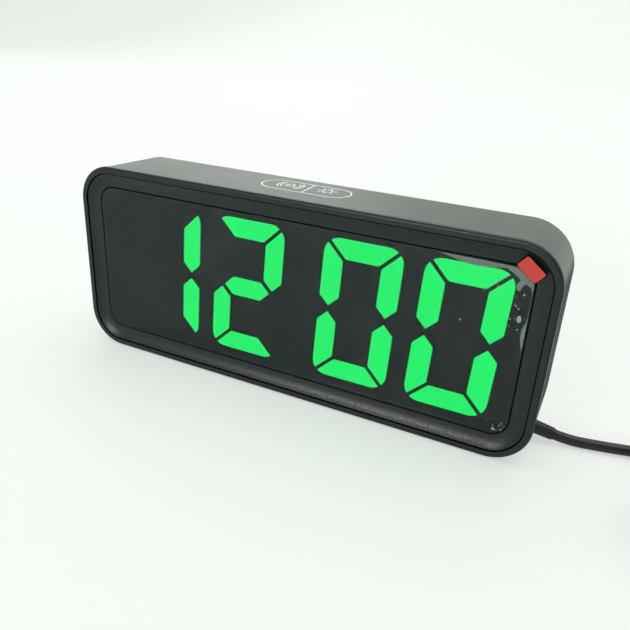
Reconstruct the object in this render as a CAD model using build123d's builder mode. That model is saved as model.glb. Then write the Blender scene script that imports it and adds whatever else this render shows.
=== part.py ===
from build123d import *
import math
import os

os.makedirs("parts", exist_ok=True)

# Digital LED desk clock, millimetres. The origin is on the table under the middle of the clock,
# +X to the right as the display is read, +Y to the back, +Z up.

# Driving dimensions: the case is as large as the display, the boards and the cells ask for
digit_height = 46.0
digit_width = 25.0
digit_space = 6.1
colon_space = 7.4
left_margin = 14.1
right_margin = 6.2
upper_margin = 2.8
corner_radius = 12.5
foot_standoff = 0.4
wall = 1.8
fit_gap = 0.05
seat_gap = 0.2
moving_gap = 0.3
cut_overrun = 2.0

# Bezel
flange_depth = 1.9
rim_width = 2.3
step_depth = 0.3
band_width = 7.0
cove_depth = 1.9
cove_sag = 0.35
rim_round = 0.8
lip_round = 0.4
lens_thickness = 1.5
ledge_width = 1.0
ledge_thickness = 1.2
spigot_depth = 7.0
spigot_wall = 1.6

# Rear housing
housing_inset = 0.25
housing_draft = 0.1
rear_edge_round = 1.5
rear_corner_extra = 1.6

# Face of the display
bar_width = 6.4
bar_height = 6.2
digit_round = 5.0
segment_gap = 1.2
middle_gap = 2.08
lean = 0.048
colon_diameter = 4.6
colon_rise = 8.5
diffuser_thickness = 2.5
well_shoulder = 0.6
lens_air_gap = 0.3
frame_thickness = 6.0
frame_margin = 0.4
frame_side_margin = 0.4
stake_diameter = 2.0
stake_length = 2.2

# Boards
board_thickness = 1.6
led_board_side = 4.9
led_board_corner = 4.0
led_size = 2.0
led_thickness = 0.8
board_to_bay_gap = 3.3
main_board_side_margin = 13.75
main_board_bay_margin = 15.4
main_board_edge_margin = 10.0
main_board_z = 0.7
header_length = 20.0
header_width = 2.5

# Buttons on the back
button_diameter = 6.0
button_pitch_share = 0.226
button_names = ("mode", "set", "up", "down")
button_recess_depth = 1.2
button_recess_margin = 3.5
button_below_back = 0.3
button_travel = 0.35
button_flange_diameter = 7.6
button_flange_thickness = 1.0
button_stem_length = 1.4
switch_size = 6.0
switch_height = 3.5
plunger_diameter = 3.4
plunger_rise = 0.8
plunger_depth = 1.5

# Battery bay: three AAA cells side by side
cell_diameter = 10.5
cell_length = 43.6
cell_nub_length = 0.9
cell_nub_diameter = 3.8
cell_gap = 0.8
contact_length = 1.5
bay_side_margin = 17.45
bay_end_gap = 0.8
bay_wall = 1.2
door_thickness = 1.6
door_rim = 2.6
door_corner = 2.0
door_tab_width = 7.0
door_tab_spacing = 26.0
door_tab_reach = 1.3
door_tab_thickness = 1.0

# Screws
case_screw_side_inset = 22.0
case_screw_inset = 5.25
screw_shank = 2.3
screw_head = 4.4
screw_head_height = 1.6
screw_bore_depth = 8.0
case_screw_length = 11.0
boss_diameter = 4.6
post_diameter = 7.0
small_screw_shank = 1.9
small_screw_head = 3.6
small_screw_head_height = 1.2
small_screw_length = 5.0

# Cord
cord_diameter = 3.3
relief_start_diameter = 4.5
relief_end_diameter = 3.9
relief_flange_diameter = 6.2
relief_flange_thickness = 1.5
relief_reach = 4.5
relief_end_y = 5.0
relief_end_height = 2.75
relief_slope = (8.0, 1.1, -1.9)
relief_length = 17.6
relief_boss_diameter = 9.6
relief_boss_length = 9.0
wire_diameter = 1.2

# Places worked out from the sizes above
digit_pitch = digit_width + digit_space
display_length = 3 * digit_pitch + colon_space + digit_width
display_shift = (left_margin - right_margin) / 2
window_width = left_margin + display_length + right_margin
window_height = digit_height + 2 * upper_margin
case_width = window_width + 2 * band_width
case_height = window_height + 2 * band_width
window_radius = corner_radius - band_width
lens_back = cove_depth + lens_thickness
frame_front = lens_back + lens_air_gap
frame_back = frame_front + frame_thickness
led_board_back = frame_back + board_thickness
case_depth = led_board_back + board_to_bay_gap + bay_wall + cell_diameter + 2 * moving_gap + door_thickness
front = -case_depth / 2
back = case_depth / 2
face_height = foot_standoff + case_height / 2
ledge_back = lens_back + ledge_thickness
opening_width = window_width - 2 * ledge_width
opening_height = window_height - 2 * ledge_width
opening_radius = window_radius - ledge_width
housing_width = case_width - 2 * housing_inset
housing_height = case_height - 2 * housing_inset
housing_radius = corner_radius - housing_inset
housing_rear_width = housing_width - 2 * housing_draft
housing_rear_height = housing_height - 2 * housing_draft
housing_rear_radius = housing_radius + rear_corner_extra
cavity_width = housing_width - 2 * wall
cavity_height = housing_height - 2 * wall
cavity_radius = housing_radius - wall
cavity_back = case_depth - wall
spigot_width = cavity_width - 2 * seat_gap
spigot_height = cavity_height - 2 * seat_gap
spigot_radius = cavity_radius - seat_gap
frame_width = opening_width - 2 * frame_side_margin
frame_height = opening_height - 2 * frame_margin
led_board_width = frame_width + 2 * led_board_side
case_screw_x = case_width / 2 - case_screw_side_inset
case_screw_z = case_height / 2 - case_screw_inset
boss_end = case_depth / 2 + flange_depth / 2
led_screw_x = frame_width / 2 + frame_side_margin + boss_diameter / 2


def face(depth):
    """A plane parallel to the display, this far behind the rim, seen from the front."""
    return Plane(origin=(0, front + depth, face_height), x_dir=(1, 0, 0), z_dir=(0, -1, 0))


def case_screw_places():
    """The four case screws, in the corners of the back."""
    return GridLocations(2 * case_screw_x, 2 * case_screw_z, 2, 2)


def led_screw_places():
    """The four screws of the LED board, beyond the ends of the segment frame."""
    return GridLocations(2 * led_screw_x, digit_height / 2, 2, 2)


def save(part, label):
    part.label = label
    export_step(part, f"parts/{label}.step")
    return part


# Front bezel: flange, spigot, window for the lens, cove, screw bosses
with BuildPart() as front_bezel:
    with BuildSketch(face(flange_depth)):
        RectangleRounded(case_width, case_height, corner_radius)
    extrude(amount=flange_depth)
    fillet(front_bezel.faces().sort_by(Axis.Y)[0].edges(), rim_round)
    fillet(front_bezel.faces().sort_by(Axis.Y)[-1].edges(), lip_round)
    with BuildSketch(face(spigot_depth)):
        RectangleRounded(spigot_width, spigot_height, spigot_radius)
    extrude(amount=spigot_depth - flange_depth)
    with BuildSketch(face(spigot_depth)):
        RectangleRounded(
            spigot_width - 2 * spigot_wall, spigot_height - 2 * spigot_wall, spigot_radius - spigot_wall
        )
    extrude(amount=spigot_depth - ledge_back, mode=Mode.SUBTRACT)
    with BuildSketch(face(lens_back)):
        RectangleRounded(window_width, window_height, window_radius)
    extrude(amount=lens_back + cut_overrun, mode=Mode.SUBTRACT)
    with BuildSketch(face(ledge_back)):
        RectangleRounded(opening_width, opening_height, opening_radius)
    extrude(amount=ledge_back, mode=Mode.SUBTRACT)

    # The cove runs round the window, from the step at the rim down to the lens
    with BuildSketch(face(cove_depth), mode=Mode.PRIVATE) as window_outline:
        RectangleRounded(window_width, window_height, window_radius)
    cove_path = window_outline.sketch.face().outer_wire()
    cove_along = (cove_path % 0) * -1
    cove_plane = Plane(origin=cove_path @ 0, x_dir=cove_along.cross(Vector(0, 1, 0)), z_dir=cove_along)
    cove_width = band_width - rim_width
    cove_fall = cove_depth - step_depth
    cove_low = (-fit_gap, 0)
    cove_high = (cove_width, cove_fall)
    cove_middle = (cove_width / 2 + cove_sag / 2, cove_fall / 2 - cove_sag)
    with BuildSketch(cove_plane):
        with BuildLine():
            ThreePointArc(cove_low, cove_middle, cove_high)
            Polyline(
                cove_high,
                (cove_width, cove_depth + cut_overrun),
                (-fit_gap, cove_depth + cut_overrun),
                cove_low,
            )
        make_face()
    sweep(path=cove_path, mode=Mode.SUBTRACT)

    # Bosses for the case screws and for the screws of the LED board
    with BuildSketch(face(boss_end)):
        with case_screw_places():
            Circle(boss_diameter / 2)
    extrude(amount=boss_end - ledge_back)
    with BuildSketch(face(frame_back)):
        with led_screw_places():
            Circle(boss_diameter / 2)
    extrude(amount=frame_back - ledge_back)
    with BuildSketch(face(boss_end)):
        with case_screw_places():
            Circle(screw_shank / 2 + fit_gap)
    extrude(amount=case_screw_length - screw_bore_depth + screw_head, mode=Mode.SUBTRACT)
    with BuildSketch(face(frame_back)):
        with led_screw_places():
            Circle(small_screw_shank / 2 + fit_gap)
    extrude(amount=small_screw_length - board_thickness + fit_gap, mode=Mode.SUBTRACT)
save(front_bezel.part, "front_bezel")

# Smoked lens in the recess of the bezel
lens_width = window_width - 2 * seat_gap
lens_height = window_height - 2 * seat_gap
with BuildPart() as lens_panel:
    with BuildSketch(face(lens_back)):
        RectangleRounded(lens_width, lens_height, window_radius - seat_gap)
    extrude(amount=lens_thickness)
save(lens_panel.part, "lens_panel")

# Clear film over the lens, flat but for the corner that has lifted, and its pull tab
film_thickness = 0.12
film_inset = 0.3
film_lift_reach = 9.6
film_width = lens_width - 2 * film_inset
film_height = lens_height - 2 * film_inset
tab_length = 6.6
tab_width = 4.2
tab_thickness = 0.15
tab_round = 0.6
tab_overhang = 1.5
tab_side_shift = 1.15
film_corner = Vector(film_width / 2, front + cove_depth, face_height + film_height / 2)
lift_angle = 38.5
lift_direction = Vector(math.sin(math.radians(lift_angle)), 0, math.cos(math.radians(lift_angle)))
bend_origin = film_corner - lift_direction * film_lift_reach
bend_plane = Plane(origin=bend_origin, x_dir=lift_direction, z_dir=lift_direction.cross(Vector(0, -1, 0)))

# The film bends so far that the end of the tab stands level with the upper edge of the cove
lift_turn = (cove_fall - tab_thickness) / (film_lift_reach / 2 + tab_overhang)
film_bend_radius = film_lift_reach / lift_turn
film_rise = film_bend_radius * (1 - math.cos(lift_turn))
film_run = film_bend_radius * math.sin(lift_turn)
with BuildPart() as protective_film:
    with BuildSketch(bend_plane):
        with BuildLine():
            Line((-case_width, 0), (0, 0))
            RadiusArc((0, 0), (film_run, film_rise), -film_bend_radius)
            offset(amount=film_thickness, side=Side.LEFT)
        make_face()
    extrude(amount=case_width, both=True)
    with BuildSketch(face(cove_depth)):
        RectangleRounded(film_width, film_height, window_radius - seat_gap - film_inset)
    extrude(amount=cove_depth, mode=Mode.INTERSECT)
save(protective_film.part, "protective_film")

tab_bow = (tab_width - tab_overhang) ** 2 / (2 * film_bend_radius)
tab_lift = film_rise + film_thickness + fit_gap + tab_bow
tab_origin = bend_origin + lift_direction * film_run - Vector(0, tab_lift, 0)
tab_slope = lift_direction * math.cos(lift_turn) - Vector(0, math.sin(lift_turn), 0)
tab_plane = Plane(origin=tab_origin, x_dir=tab_slope, z_dir=tab_slope.cross(bend_plane.z_dir))
with BuildPart() as film_pull_tab:
    with BuildSketch(tab_plane):
        with Locations((tab_overhang - tab_width / 2, -tab_side_shift)):
            RectangleRounded(tab_width, tab_length, tab_round)
    extrude(amount=-tab_thickness)
save(film_pull_tab.part, "film_pull_tab")


# Outlines of the seven segments, leaning to the right, about the middle of a digit
half_digit = digit_width / 2
half_height = digit_height / 2
inner_x = half_digit - bar_width
inner_z = half_height - bar_height
middle_bar_half_length = half_digit - bar_width / 2 - middle_gap / 2
mitre = segment_gap / math.sqrt(2)


def leaning(digit_x, x, z):
    """A point of a digit's face, moved sideways by the lean of the digits."""
    return (digit_x + x + lean * z, z)


def corner_arc(line_rise):
    """Where a mitre line z = x + rise meets the rounded corner of a digit, as its angle there."""
    centre_x = half_digit - digit_round
    centre_z = half_height - digit_round
    off = centre_x - centre_z + line_rise
    met_x = (centre_x + centre_z - line_rise + math.sqrt(2 * digit_round**2 - off**2)) / 2
    return math.atan2(met_x + line_rise - centre_z, met_x - centre_x)


def corner_point(angle):
    """A point on the rounded corner at the upper right of a digit."""
    return (
        half_digit - digit_round + digit_round * math.cos(angle),
        half_height - digit_round + digit_round * math.sin(angle),
    )


def upright_bar(digit_x, x_sign, z_sign):
    """Segment b, c, e or f: pointed at the middle, mitred and rounded at the outer end."""
    met = corner_arc(inner_z - mitre - inner_x)
    points = [
        corner_point(0),
        (half_digit, middle_gap / 2 + bar_width / 2),
        (half_digit - bar_width / 2, middle_gap / 2),
        (inner_x, middle_gap / 2 + bar_width / 2),
        (inner_x, inner_z - mitre),
        corner_point(met),
    ]
    arc = [corner_point(met), corner_point(met / 2), corner_point(0)]
    with BuildSketch() as bar:
        with BuildLine():
            Polyline(*[leaning(digit_x, x_sign * x, z_sign * z) for x, z in points])
            ThreePointArc(*[leaning(digit_x, x_sign * x, z_sign * z) for x, z in arc])
        make_face()
    return bar.sketch


def level_bar(digit_x, z_sign):
    """Segment a or d: mitred at both ends, with the digit's rounded corners."""
    met = corner_arc(inner_z - inner_x + mitre)
    top = math.pi / 2
    arc = [corner_point(met), corner_point((met + top) / 2), corner_point(top)]
    base = inner_x - mitre
    right = [leaning(digit_x, x, z_sign * z) for x, z in arc]
    left = [leaning(digit_x, -x, z_sign * z) for x, z in arc]
    with BuildSketch() as bar:
        with BuildLine():
            ThreePointArc(*right)
            ThreePointArc(*left)
            Line(right[-1], left[-1])
            Polyline(
                right[0],
                leaning(digit_x, base, z_sign * inner_z),
                leaning(digit_x, -base, z_sign * inner_z),
                left[0],
            )
        make_face()
    return bar.sketch


def middle_bar(digit_x):
    """Segment g, pointed at both ends."""
    flat = middle_bar_half_length - bar_height / 2
    points = [
        (flat, bar_height / 2),
        (middle_bar_half_length, 0),
        (flat, -bar_height / 2),
        (-flat, -bar_height / 2),
        (-middle_bar_half_length, 0),
        (-flat, bar_height / 2),
    ]
    with BuildSketch() as bar:
        with BuildLine():
            Polyline(*[leaning(digit_x, x, z) for x, z in points], close=True)
        make_face()
    return bar.sketch


def digit_faces(digit_x):
    """The seven faces of one digit."""
    bars = [upright_bar(digit_x, x_sign, z_sign) for x_sign in (1, -1) for z_sign in (1, -1)]
    return bars + [level_bar(digit_x, 1), middle_bar(digit_x), level_bar(digit_x, -1)]


colon_places = [leaning(display_shift, 0, z) for z in (colon_rise, -colon_rise)]


half_span = 1.5 * digit_pitch + colon_space / 2
digit_centres = [display_shift + x for x in (-half_span, digit_pitch - half_span)]
digit_centres += [display_shift + x for x in (half_span - digit_pitch, half_span)]
digit_names = ("hour_tens", "hour_units", "minute_tens", "minute_units")

for name, digit_x in zip(digit_names, digit_centres):
    with BuildPart() as segments:
        with BuildSketch(face(frame_front + diffuser_thickness)):
            add(digit_faces(digit_x))
        extrude(amount=diffuser_thickness)
    save(segments.part, f"{name}_segments")

with BuildPart() as colon_dots:
    with BuildSketch(face(frame_front + diffuser_thickness)):
        with Locations(*colon_places):
            Circle(colon_diameter / 2)
    extrude(amount=diffuser_thickness)
save(colon_dots.part, "colon_dots")

# Segment frame: a pocket for each diffuser over a narrower well, and stakes at the back
stake_x = digit_centres[0] - half_digit - bar_width
stake_places = [
    (stake_x, inner_z),
    (stake_x, -inner_z),
    ((digit_centres[0] + digit_centres[1]) / 2, 0),
    (display_shift, half_height - bar_height / 2),
    (display_shift, bar_height / 2 - half_height),
    ((digit_centres[2] + digit_centres[3]) / 2, 0),
    (frame_width / 2 - stake_diameter, 0),
]
with BuildPart() as segment_frame:
    with BuildSketch(face(frame_back)):
        RectangleRounded(frame_width, frame_height, opening_radius - frame_margin)
    extrude(amount=frame_thickness)
    with BuildSketch(face(frame_front + diffuser_thickness)):
        for digit_x in digit_centres:
            add(digit_faces(digit_x))
        with Locations(*colon_places):
            Circle(colon_diameter / 2)
        offset(amount=fit_gap, kind=Kind.INTERSECTION)
    extrude(amount=diffuser_thickness + cut_overrun, mode=Mode.SUBTRACT)
    with BuildSketch(face(frame_back)):
        for digit_x in digit_centres:
            add(digit_faces(digit_x))
        with Locations(*colon_places):
            Circle(colon_diameter / 2)
        offset(amount=-well_shoulder, kind=Kind.INTERSECTION)
    extrude(amount=frame_thickness, mode=Mode.SUBTRACT)
    with BuildSketch(face(frame_back + stake_length)):
        with Locations(*stake_places):
            Circle(stake_diameter / 2)
    extrude(amount=stake_length)
save(segment_frame.part, "segment_frame")

# LED board behind the frame, with two LEDs in each well and one behind each colon dot
with BuildPart() as led_board:
    with BuildSketch(face(led_board_back)):
        RectangleRounded(led_board_width, frame_height, led_board_corner)
        with Locations(*stake_places):
            Circle(stake_diameter / 2 + fit_gap, mode=Mode.SUBTRACT)
        with led_screw_places():
            Circle(small_screw_shank / 2 + fit_gap, mode=Mode.SUBTRACT)
    extrude(amount=board_thickness)
save(led_board.part, "led_board")

led_places = list(colon_places)
for digit_x in digit_centres:
    for x_sign in (1, -1):
        bar_x = x_sign * (half_digit - bar_width / 2)
        for z_sign in (1, -1):
            for z in (inner_z / 3, inner_z * 5 / 6):
                led_places.append(leaning(digit_x, bar_x, z_sign * z))
        for z in (half_height - bar_height / 2, 0, bar_height / 2 - half_height):
            led_places.append(leaning(digit_x, x_sign * inner_x / 2, z))
with BuildPart() as led_chips:
    with BuildSketch(face(frame_back)):
        with Locations(*led_places):
            Rectangle(led_size, led_size)
    extrude(amount=led_thickness)
save(led_chips.part, "led_chips")


# Rear housing, open at the front
bay_length = cell_length + cell_nub_length + contact_length + bay_end_gap
bay_height = 3 * cell_diameter + 2 * cell_gap + 2 * moving_gap
bay_back = case_depth - door_thickness
bay_front = bay_back - cell_diameter - 2 * moving_gap
door_width = bay_length + 2 * door_rim
door_height = bay_height + 2 * door_rim
bay_x = bay_side_margin + moving_gap + door_width / 2 - housing_width / 2
bay_side = bay_x + bay_length / 2 + bay_wall
door_low = -door_height / 2 - moving_gap
door_ledge_front = bay_back - wall
hook_slot_front = door_ledge_front - 2 * fit_gap
button_pad_front = case_depth - button_recess_depth - wall
flange_back = button_pad_front - seat_gap
plunger_end = flange_back - button_flange_thickness - button_stem_length
main_board_back = plunger_end - plunger_rise - switch_height
main_board_depth = main_board_back - board_thickness
main_board_width = housing_width / 2 - main_board_side_margin - bay_side - main_board_bay_margin
main_board_height = cavity_height - 2 * main_board_edge_margin
main_board_x = housing_width / 2 - main_board_side_margin - main_board_width / 2


def on_board(x_share, z_share):
    """A place on the main board, as shares of its width and height from its middle."""
    return (main_board_x + x_share * main_board_width, main_board_z + z_share * main_board_height)


board_post_shares = [(-0.435, -0.402), (0.435, -0.402), (0.442, 0.422), (-0.445, 0.067)]
board_post_places = [on_board(*share) for share in board_post_shares]
header_place = on_board(-0.081, -0.354)
button_x, button_z = on_board(-0.032, 0.32)
button_pitch = button_pitch_share * main_board_width
recess_width = button_pitch * (len(button_names) - 1) + button_diameter + 2 * button_recess_margin
recess_height = button_diameter + 2 * button_recess_margin
buzzer_diameter = 12.0
buzzer_gap = 0.7
buzzer_terminal_gap = 0.6
buzzer_height = cavity_back - buzzer_gap - main_board_back
buzzer_x, buzzer_z = on_board(0.242, -0.161)
sound_hole = 1.6
sound_ring = 3.4
microphone_diameter = 6.0
microphone_height = 2.7
microphone_x, microphone_z = on_board(0.048, -0.306)
microphone_ring_wall = 1.2
board_post_diameter = 4.8
foot_diameter = 9.0
foot_side_inset = 24.0
foot_x = case_width / 2 - foot_side_inset
foot_front_inset = 8.75
foot_back_inset = 6.25
foot_pocket = 0.6
foot_round = 0.35
housing_low = face_height - housing_height / 2
foot_top = housing_low + foot_pocket
hook_slot_width = door_tab_width + 2 * moving_gap
hook_pocket_drop = door_tab_reach + 2 * moving_gap
hook_sweep = 3.8

slope_length = math.hypot(*relief_slope)
relief_axis = Vector(*[part / slope_length for part in relief_slope])
relief_end = (case_width / 2 + relief_reach, relief_end_y, relief_end_height)
relief_start = Vector(*relief_end) - relief_axis * relief_length
relief_plane = Plane(origin=relief_start, x_dir=(0, 1, 0), z_dir=relief_axis)


def button_places():
    """The four buttons on the back, in a row."""
    first = button_x - button_pitch * (len(button_names) - 1) / 2
    return [(first + button_pitch * i, button_z) for i in range(len(button_names))]


def sound_places():
    """A ring of sound holes round one in the middle."""
    return [(buzzer_x, buzzer_z)] + [
        (buzzer_x + sound_ring * math.cos(turn), buzzer_z + sound_ring * math.sin(turn))
        for turn in [i * math.pi / 3 for i in range(6)]
    ]


def foot_places():
    """The four feet under the housing."""
    return [(side * foot_x, y) for side in (-1, 1) for y in (front + foot_front_inset, back - foot_back_inset)]


def hook_places():
    """Where the two hooks along the lower edge of the battery door are, along X."""
    return [bay_x + side * door_tab_spacing / 2 for side in (-1, 1)]


with BuildPart() as housing_block:
    with BuildSketch(face(flange_depth)):
        RectangleRounded(housing_width, housing_height, housing_radius)
    with BuildSketch(face(case_depth)):
        RectangleRounded(housing_rear_width, housing_rear_height, housing_rear_radius)
    loft()
    fillet(housing_block.faces().sort_by(Axis.Y)[-1].edges(), rear_edge_round)

# A boss inside the lower right corner gives the strain relief a square face
with BuildPart() as relief_boss:
    with BuildSketch(relief_plane.offset(relief_flange_thickness)):
        Circle(relief_boss_diameter / 2)
    extrude(amount=relief_boss_length)
    add(housing_block.part, mode=Mode.INTERSECT)

with BuildPart() as rear_housing:
    add(housing_block.part)
    with BuildSketch(face(flange_depth)):
        RectangleRounded(cavity_width, cavity_height, cavity_radius)
    with BuildSketch(face(cavity_back)):
        RectangleRounded(
            cavity_width - 2 * housing_draft, cavity_height - 2 * housing_draft, cavity_radius
        )
    loft(mode=Mode.SUBTRACT)
    add(relief_boss.part)

    # Posts for the case screws, walls of the battery bay, the pad behind the buttons, board posts
    with BuildSketch(face(cavity_back)):
        with case_screw_places():
            Circle(post_diameter / 2)
    extrude(amount=cavity_back - boss_end)
    with BuildSketch(face(cavity_back)):
        with Locations((bay_x, 0)):
            Rectangle(bay_length + 2 * bay_wall, bay_height + 2 * bay_wall)
    extrude(amount=cavity_back - bay_front + bay_wall)
    with BuildSketch(face(cavity_back)):
        with Locations((bay_x, 0)):
            RectangleRounded(door_width + 2 * wall, door_height + 2 * wall, door_corner + wall)
    extrude(amount=cavity_back - door_ledge_front)
    with BuildSketch(face(cavity_back)):
        with Locations((button_x, button_z)):
            RectangleRounded(recess_width + 2 * wall, recess_height + 2 * wall, recess_height / 4)
    extrude(amount=cavity_back - button_pad_front)
    with BuildSketch(face(cavity_back)):
        with Locations(*board_post_places):
            Circle(board_post_diameter / 2)
    extrude(amount=cavity_back - main_board_back)
    with BuildSketch(face(cavity_back)):
        with Locations((microphone_x, microphone_z)):
            Circle(microphone_diameter / 2 + fit_gap + microphone_ring_wall)
            Circle(microphone_diameter / 2 + fit_gap, mode=Mode.SUBTRACT)
    extrude(amount=microphone_height)

    # Screw bores, from the back and down the posts
    with BuildSketch(face(case_depth + cut_overrun)):
        with case_screw_places():
            Circle(screw_head / 2 + moving_gap)
    extrude(amount=screw_bore_depth + cut_overrun, mode=Mode.SUBTRACT)
    with BuildSketch(face(case_depth - screw_bore_depth)):
        with case_screw_places():
            Circle(screw_shank / 2 + seat_gap)
    extrude(amount=case_depth, mode=Mode.SUBTRACT)
    with BuildSketch(face(main_board_back)):
        with Locations(*board_post_places):
            Circle(small_screw_shank / 2 + fit_gap)
    extrude(amount=-(small_screw_length - board_thickness + fit_gap), mode=Mode.SUBTRACT)

    # Battery bay, its door seat and the slots for the hooks of the door
    with BuildSketch(face(case_depth + cut_overrun)):
        with Locations((bay_x, 0)):
            RectangleRounded(
                door_width + 2 * moving_gap, door_height + 2 * moving_gap, door_corner + moving_gap
            )
    extrude(amount=door_thickness + cut_overrun, mode=Mode.SUBTRACT)
    with BuildSketch(face(bay_back + cut_overrun)):
        with Locations((bay_x, 0)):
            Rectangle(bay_length, bay_height)
    extrude(amount=bay_back + cut_overrun - bay_front, mode=Mode.SUBTRACT)
    with BuildSketch(face(bay_front + cell_diameter / 4)):
        with Locations((bay_x, 0)):
            with GridLocations(0, cell_diameter + cell_gap, 1, 2):
                Rectangle(bay_length, cell_gap / 2)
    extrude(amount=cell_diameter / 4)
    with BuildSketch(face(cavity_back)):
        for x in hook_places():
            with Locations((x, door_low - hook_pocket_drop / 2)):
                Rectangle(hook_slot_width, hook_pocket_drop)
    extrude(amount=cavity_back - hook_slot_front, mode=Mode.SUBTRACT)
    with BuildSketch(face(bay_back + cut_overrun)):
        for x in hook_places():
            with Locations((x, door_low + hook_sweep / 2)):
                Rectangle(hook_slot_width, hook_sweep)
    extrude(amount=bay_back + cut_overrun - hook_slot_front, mode=Mode.SUBTRACT)

    # Buttons, sound holes and the hole of the microphone
    with BuildSketch(face(case_depth + cut_overrun)):
        with Locations((button_x, button_z)):
            RectangleRounded(recess_width, recess_height, recess_height / 4)
    extrude(amount=button_recess_depth + cut_overrun, mode=Mode.SUBTRACT)
    with BuildSketch(face(case_depth)):
        with Locations(*button_places()):
            Circle(button_diameter / 2 + seat_gap)
        with Locations(*sound_places()):
            Circle(sound_hole / 2)
        with Locations((microphone_x, microphone_z)):
            Circle(sound_hole / 2)
    extrude(amount=case_depth - button_pad_front + cut_overrun, mode=Mode.SUBTRACT)

    # Foot pockets and the hole for the strain relief
    with BuildSketch(Plane.XY.offset(foot_top)):
        with Locations(*foot_places()):
            Circle(foot_diameter / 2 + fit_gap)
    extrude(amount=-foot_pocket - cut_overrun, mode=Mode.SUBTRACT)
    with BuildSketch(relief_plane):
        Circle(relief_start_diameter / 2 + fit_gap)
    extrude(amount=relief_length, mode=Mode.SUBTRACT)
save(rear_housing.part, "rear_housing")

# Battery door with its two hooks, spring tongue and thumb notch
tongue_width = 14.0
tongue_length = 7.0
slit_width = 0.8
thumb_width = 10.0
thumb_depth = 1.1
with BuildPart() as battery_door:
    with BuildSketch(face(case_depth)):
        with Locations((bay_x, 0)):
            RectangleRounded(door_width, door_height, door_corner)
        with Locations((bay_x, door_height / 2 - tongue_length / 2)):
            with GridLocations(tongue_width, 0, 2, 1):
                Rectangle(slit_width, tongue_length, mode=Mode.SUBTRACT)
    extrude(amount=door_thickness)
    with BuildSketch(face(case_depth)):
        with Locations((bay_x, door_height / 2)):
            SlotOverall(thumb_width, thumb_depth * 2)
    extrude(amount=door_thickness / 2, mode=Mode.SUBTRACT)
    hook_front = case_depth - wall - moving_gap - door_tab_thickness
    with BuildSketch(face(bay_back)):
        for x in hook_places():
            with Locations((x, door_low + moving_gap + door_tab_thickness / 2)):
                Rectangle(door_tab_width, door_tab_thickness)
    extrude(amount=bay_back - hook_front)
    with BuildSketch(face(hook_front + door_tab_thickness)):
        for x in hook_places():
            with Locations((x, door_low + (moving_gap + door_tab_thickness - door_tab_reach) / 2)):
                Rectangle(door_tab_width, door_tab_reach + moving_gap + door_tab_thickness)
    extrude(amount=door_tab_thickness)
save(battery_door.part, "battery_door")

# Backup cells, head to tail, and their contacts
cell_depth = bay_back - moving_gap - cell_diameter / 2
cell_rows = [(row, (row - 1) * (cell_diameter + cell_gap)) for row in range(3)]
contact_thickness = 0.4
contact_width = 8.0
cell_end = bay_length / 2 - contact_thickness - cell_nub_length


def cell_turn(row):
    """+1 for a cell with its nub to the right, -1 to the left."""
    return 1 if row % 2 == 0 else -1


with BuildPart() as backup_cells:
    for row, z in cell_rows:
        turn = cell_turn(row)
        start = Plane(
            origin=(bay_x + turn * cell_end, front + cell_depth, face_height + z), z_dir=(-turn, 0, 0)
        )
        with BuildSketch(start):
            Circle(cell_diameter / 2)
        extrude(amount=cell_length)
        with BuildSketch(start):
            Circle(cell_nub_diameter / 2)
        extrude(amount=-cell_nub_length)
save(backup_cells.part, "backup_cells")

with BuildPart() as battery_plates:
    for row, z in cell_rows:
        wall_x = bay_x + cell_turn(row) * bay_length / 2
        with BuildSketch(
            Plane(origin=(wall_x, front + cell_depth, face_height + z), z_dir=(-cell_turn(row), 0, 0))
        ):
            Rectangle(contact_width, contact_width)
        extrude(amount=contact_thickness)
save(battery_plates.part, "battery_plates")

spring_free = bay_length - contact_thickness - cell_nub_length - cell_length
with BuildPart() as battery_springs:
    for row, z in cell_rows:
        turn = cell_turn(row)
        wall_x = bay_x - turn * bay_length / 2
        spring_origin = (wall_x, front + cell_depth, face_height + z - contact_width / 2)
        with BuildSketch(Plane(origin=spring_origin, x_dir=(turn, 0, 0), z_dir=(0, -turn, 0))):
            with BuildLine():
                Polyline(
                    (contact_thickness, contact_width), (0, contact_width), (0, 0), (contact_thickness, 0)
                )
                ThreePointArc(
                    (contact_thickness, 0),
                    (spring_free, contact_width / 2),
                    (contact_thickness, contact_width),
                )
            make_face()
            with BuildLine():
                ThreePointArc(
                    (contact_thickness, contact_thickness),
                    (spring_free - contact_thickness, contact_width / 2),
                    (contact_thickness, contact_width - contact_thickness),
                )
                Line(
                    (contact_thickness, contact_width - contact_thickness),
                    (contact_thickness, contact_thickness),
                )
            make_face(mode=Mode.SUBTRACT)
        extrude(amount=contact_width / 4, both=True)
save(battery_springs.part, "battery_springs")

# Main board with its switches, header, terminal and other components
with BuildPart() as main_board:
    with BuildSketch(face(main_board_back)):
        with Locations((main_board_x, main_board_z)):
            RectangleRounded(main_board_width, main_board_height, wall)
        with Locations(*board_post_places):
            Circle(small_screw_shank / 2 + fit_gap, mode=Mode.SUBTRACT)
    extrude(amount=board_thickness)
save(main_board.part, "main_board")

with BuildPart() as switch_bodies:
    with BuildSketch(face(main_board_back + switch_height)):
        with Locations(*button_places()):
            RectangleRounded(switch_size, switch_size, switch_size / 10)
    extrude(amount=switch_height)
    with BuildSketch(face(main_board_back + switch_height)):
        with Locations(*button_places()):
            Circle(plunger_diameter / 2 + fit_gap)
    extrude(amount=plunger_depth + button_travel + seat_gap, mode=Mode.SUBTRACT)
save(switch_bodies.part, "switch_bodies")

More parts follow.
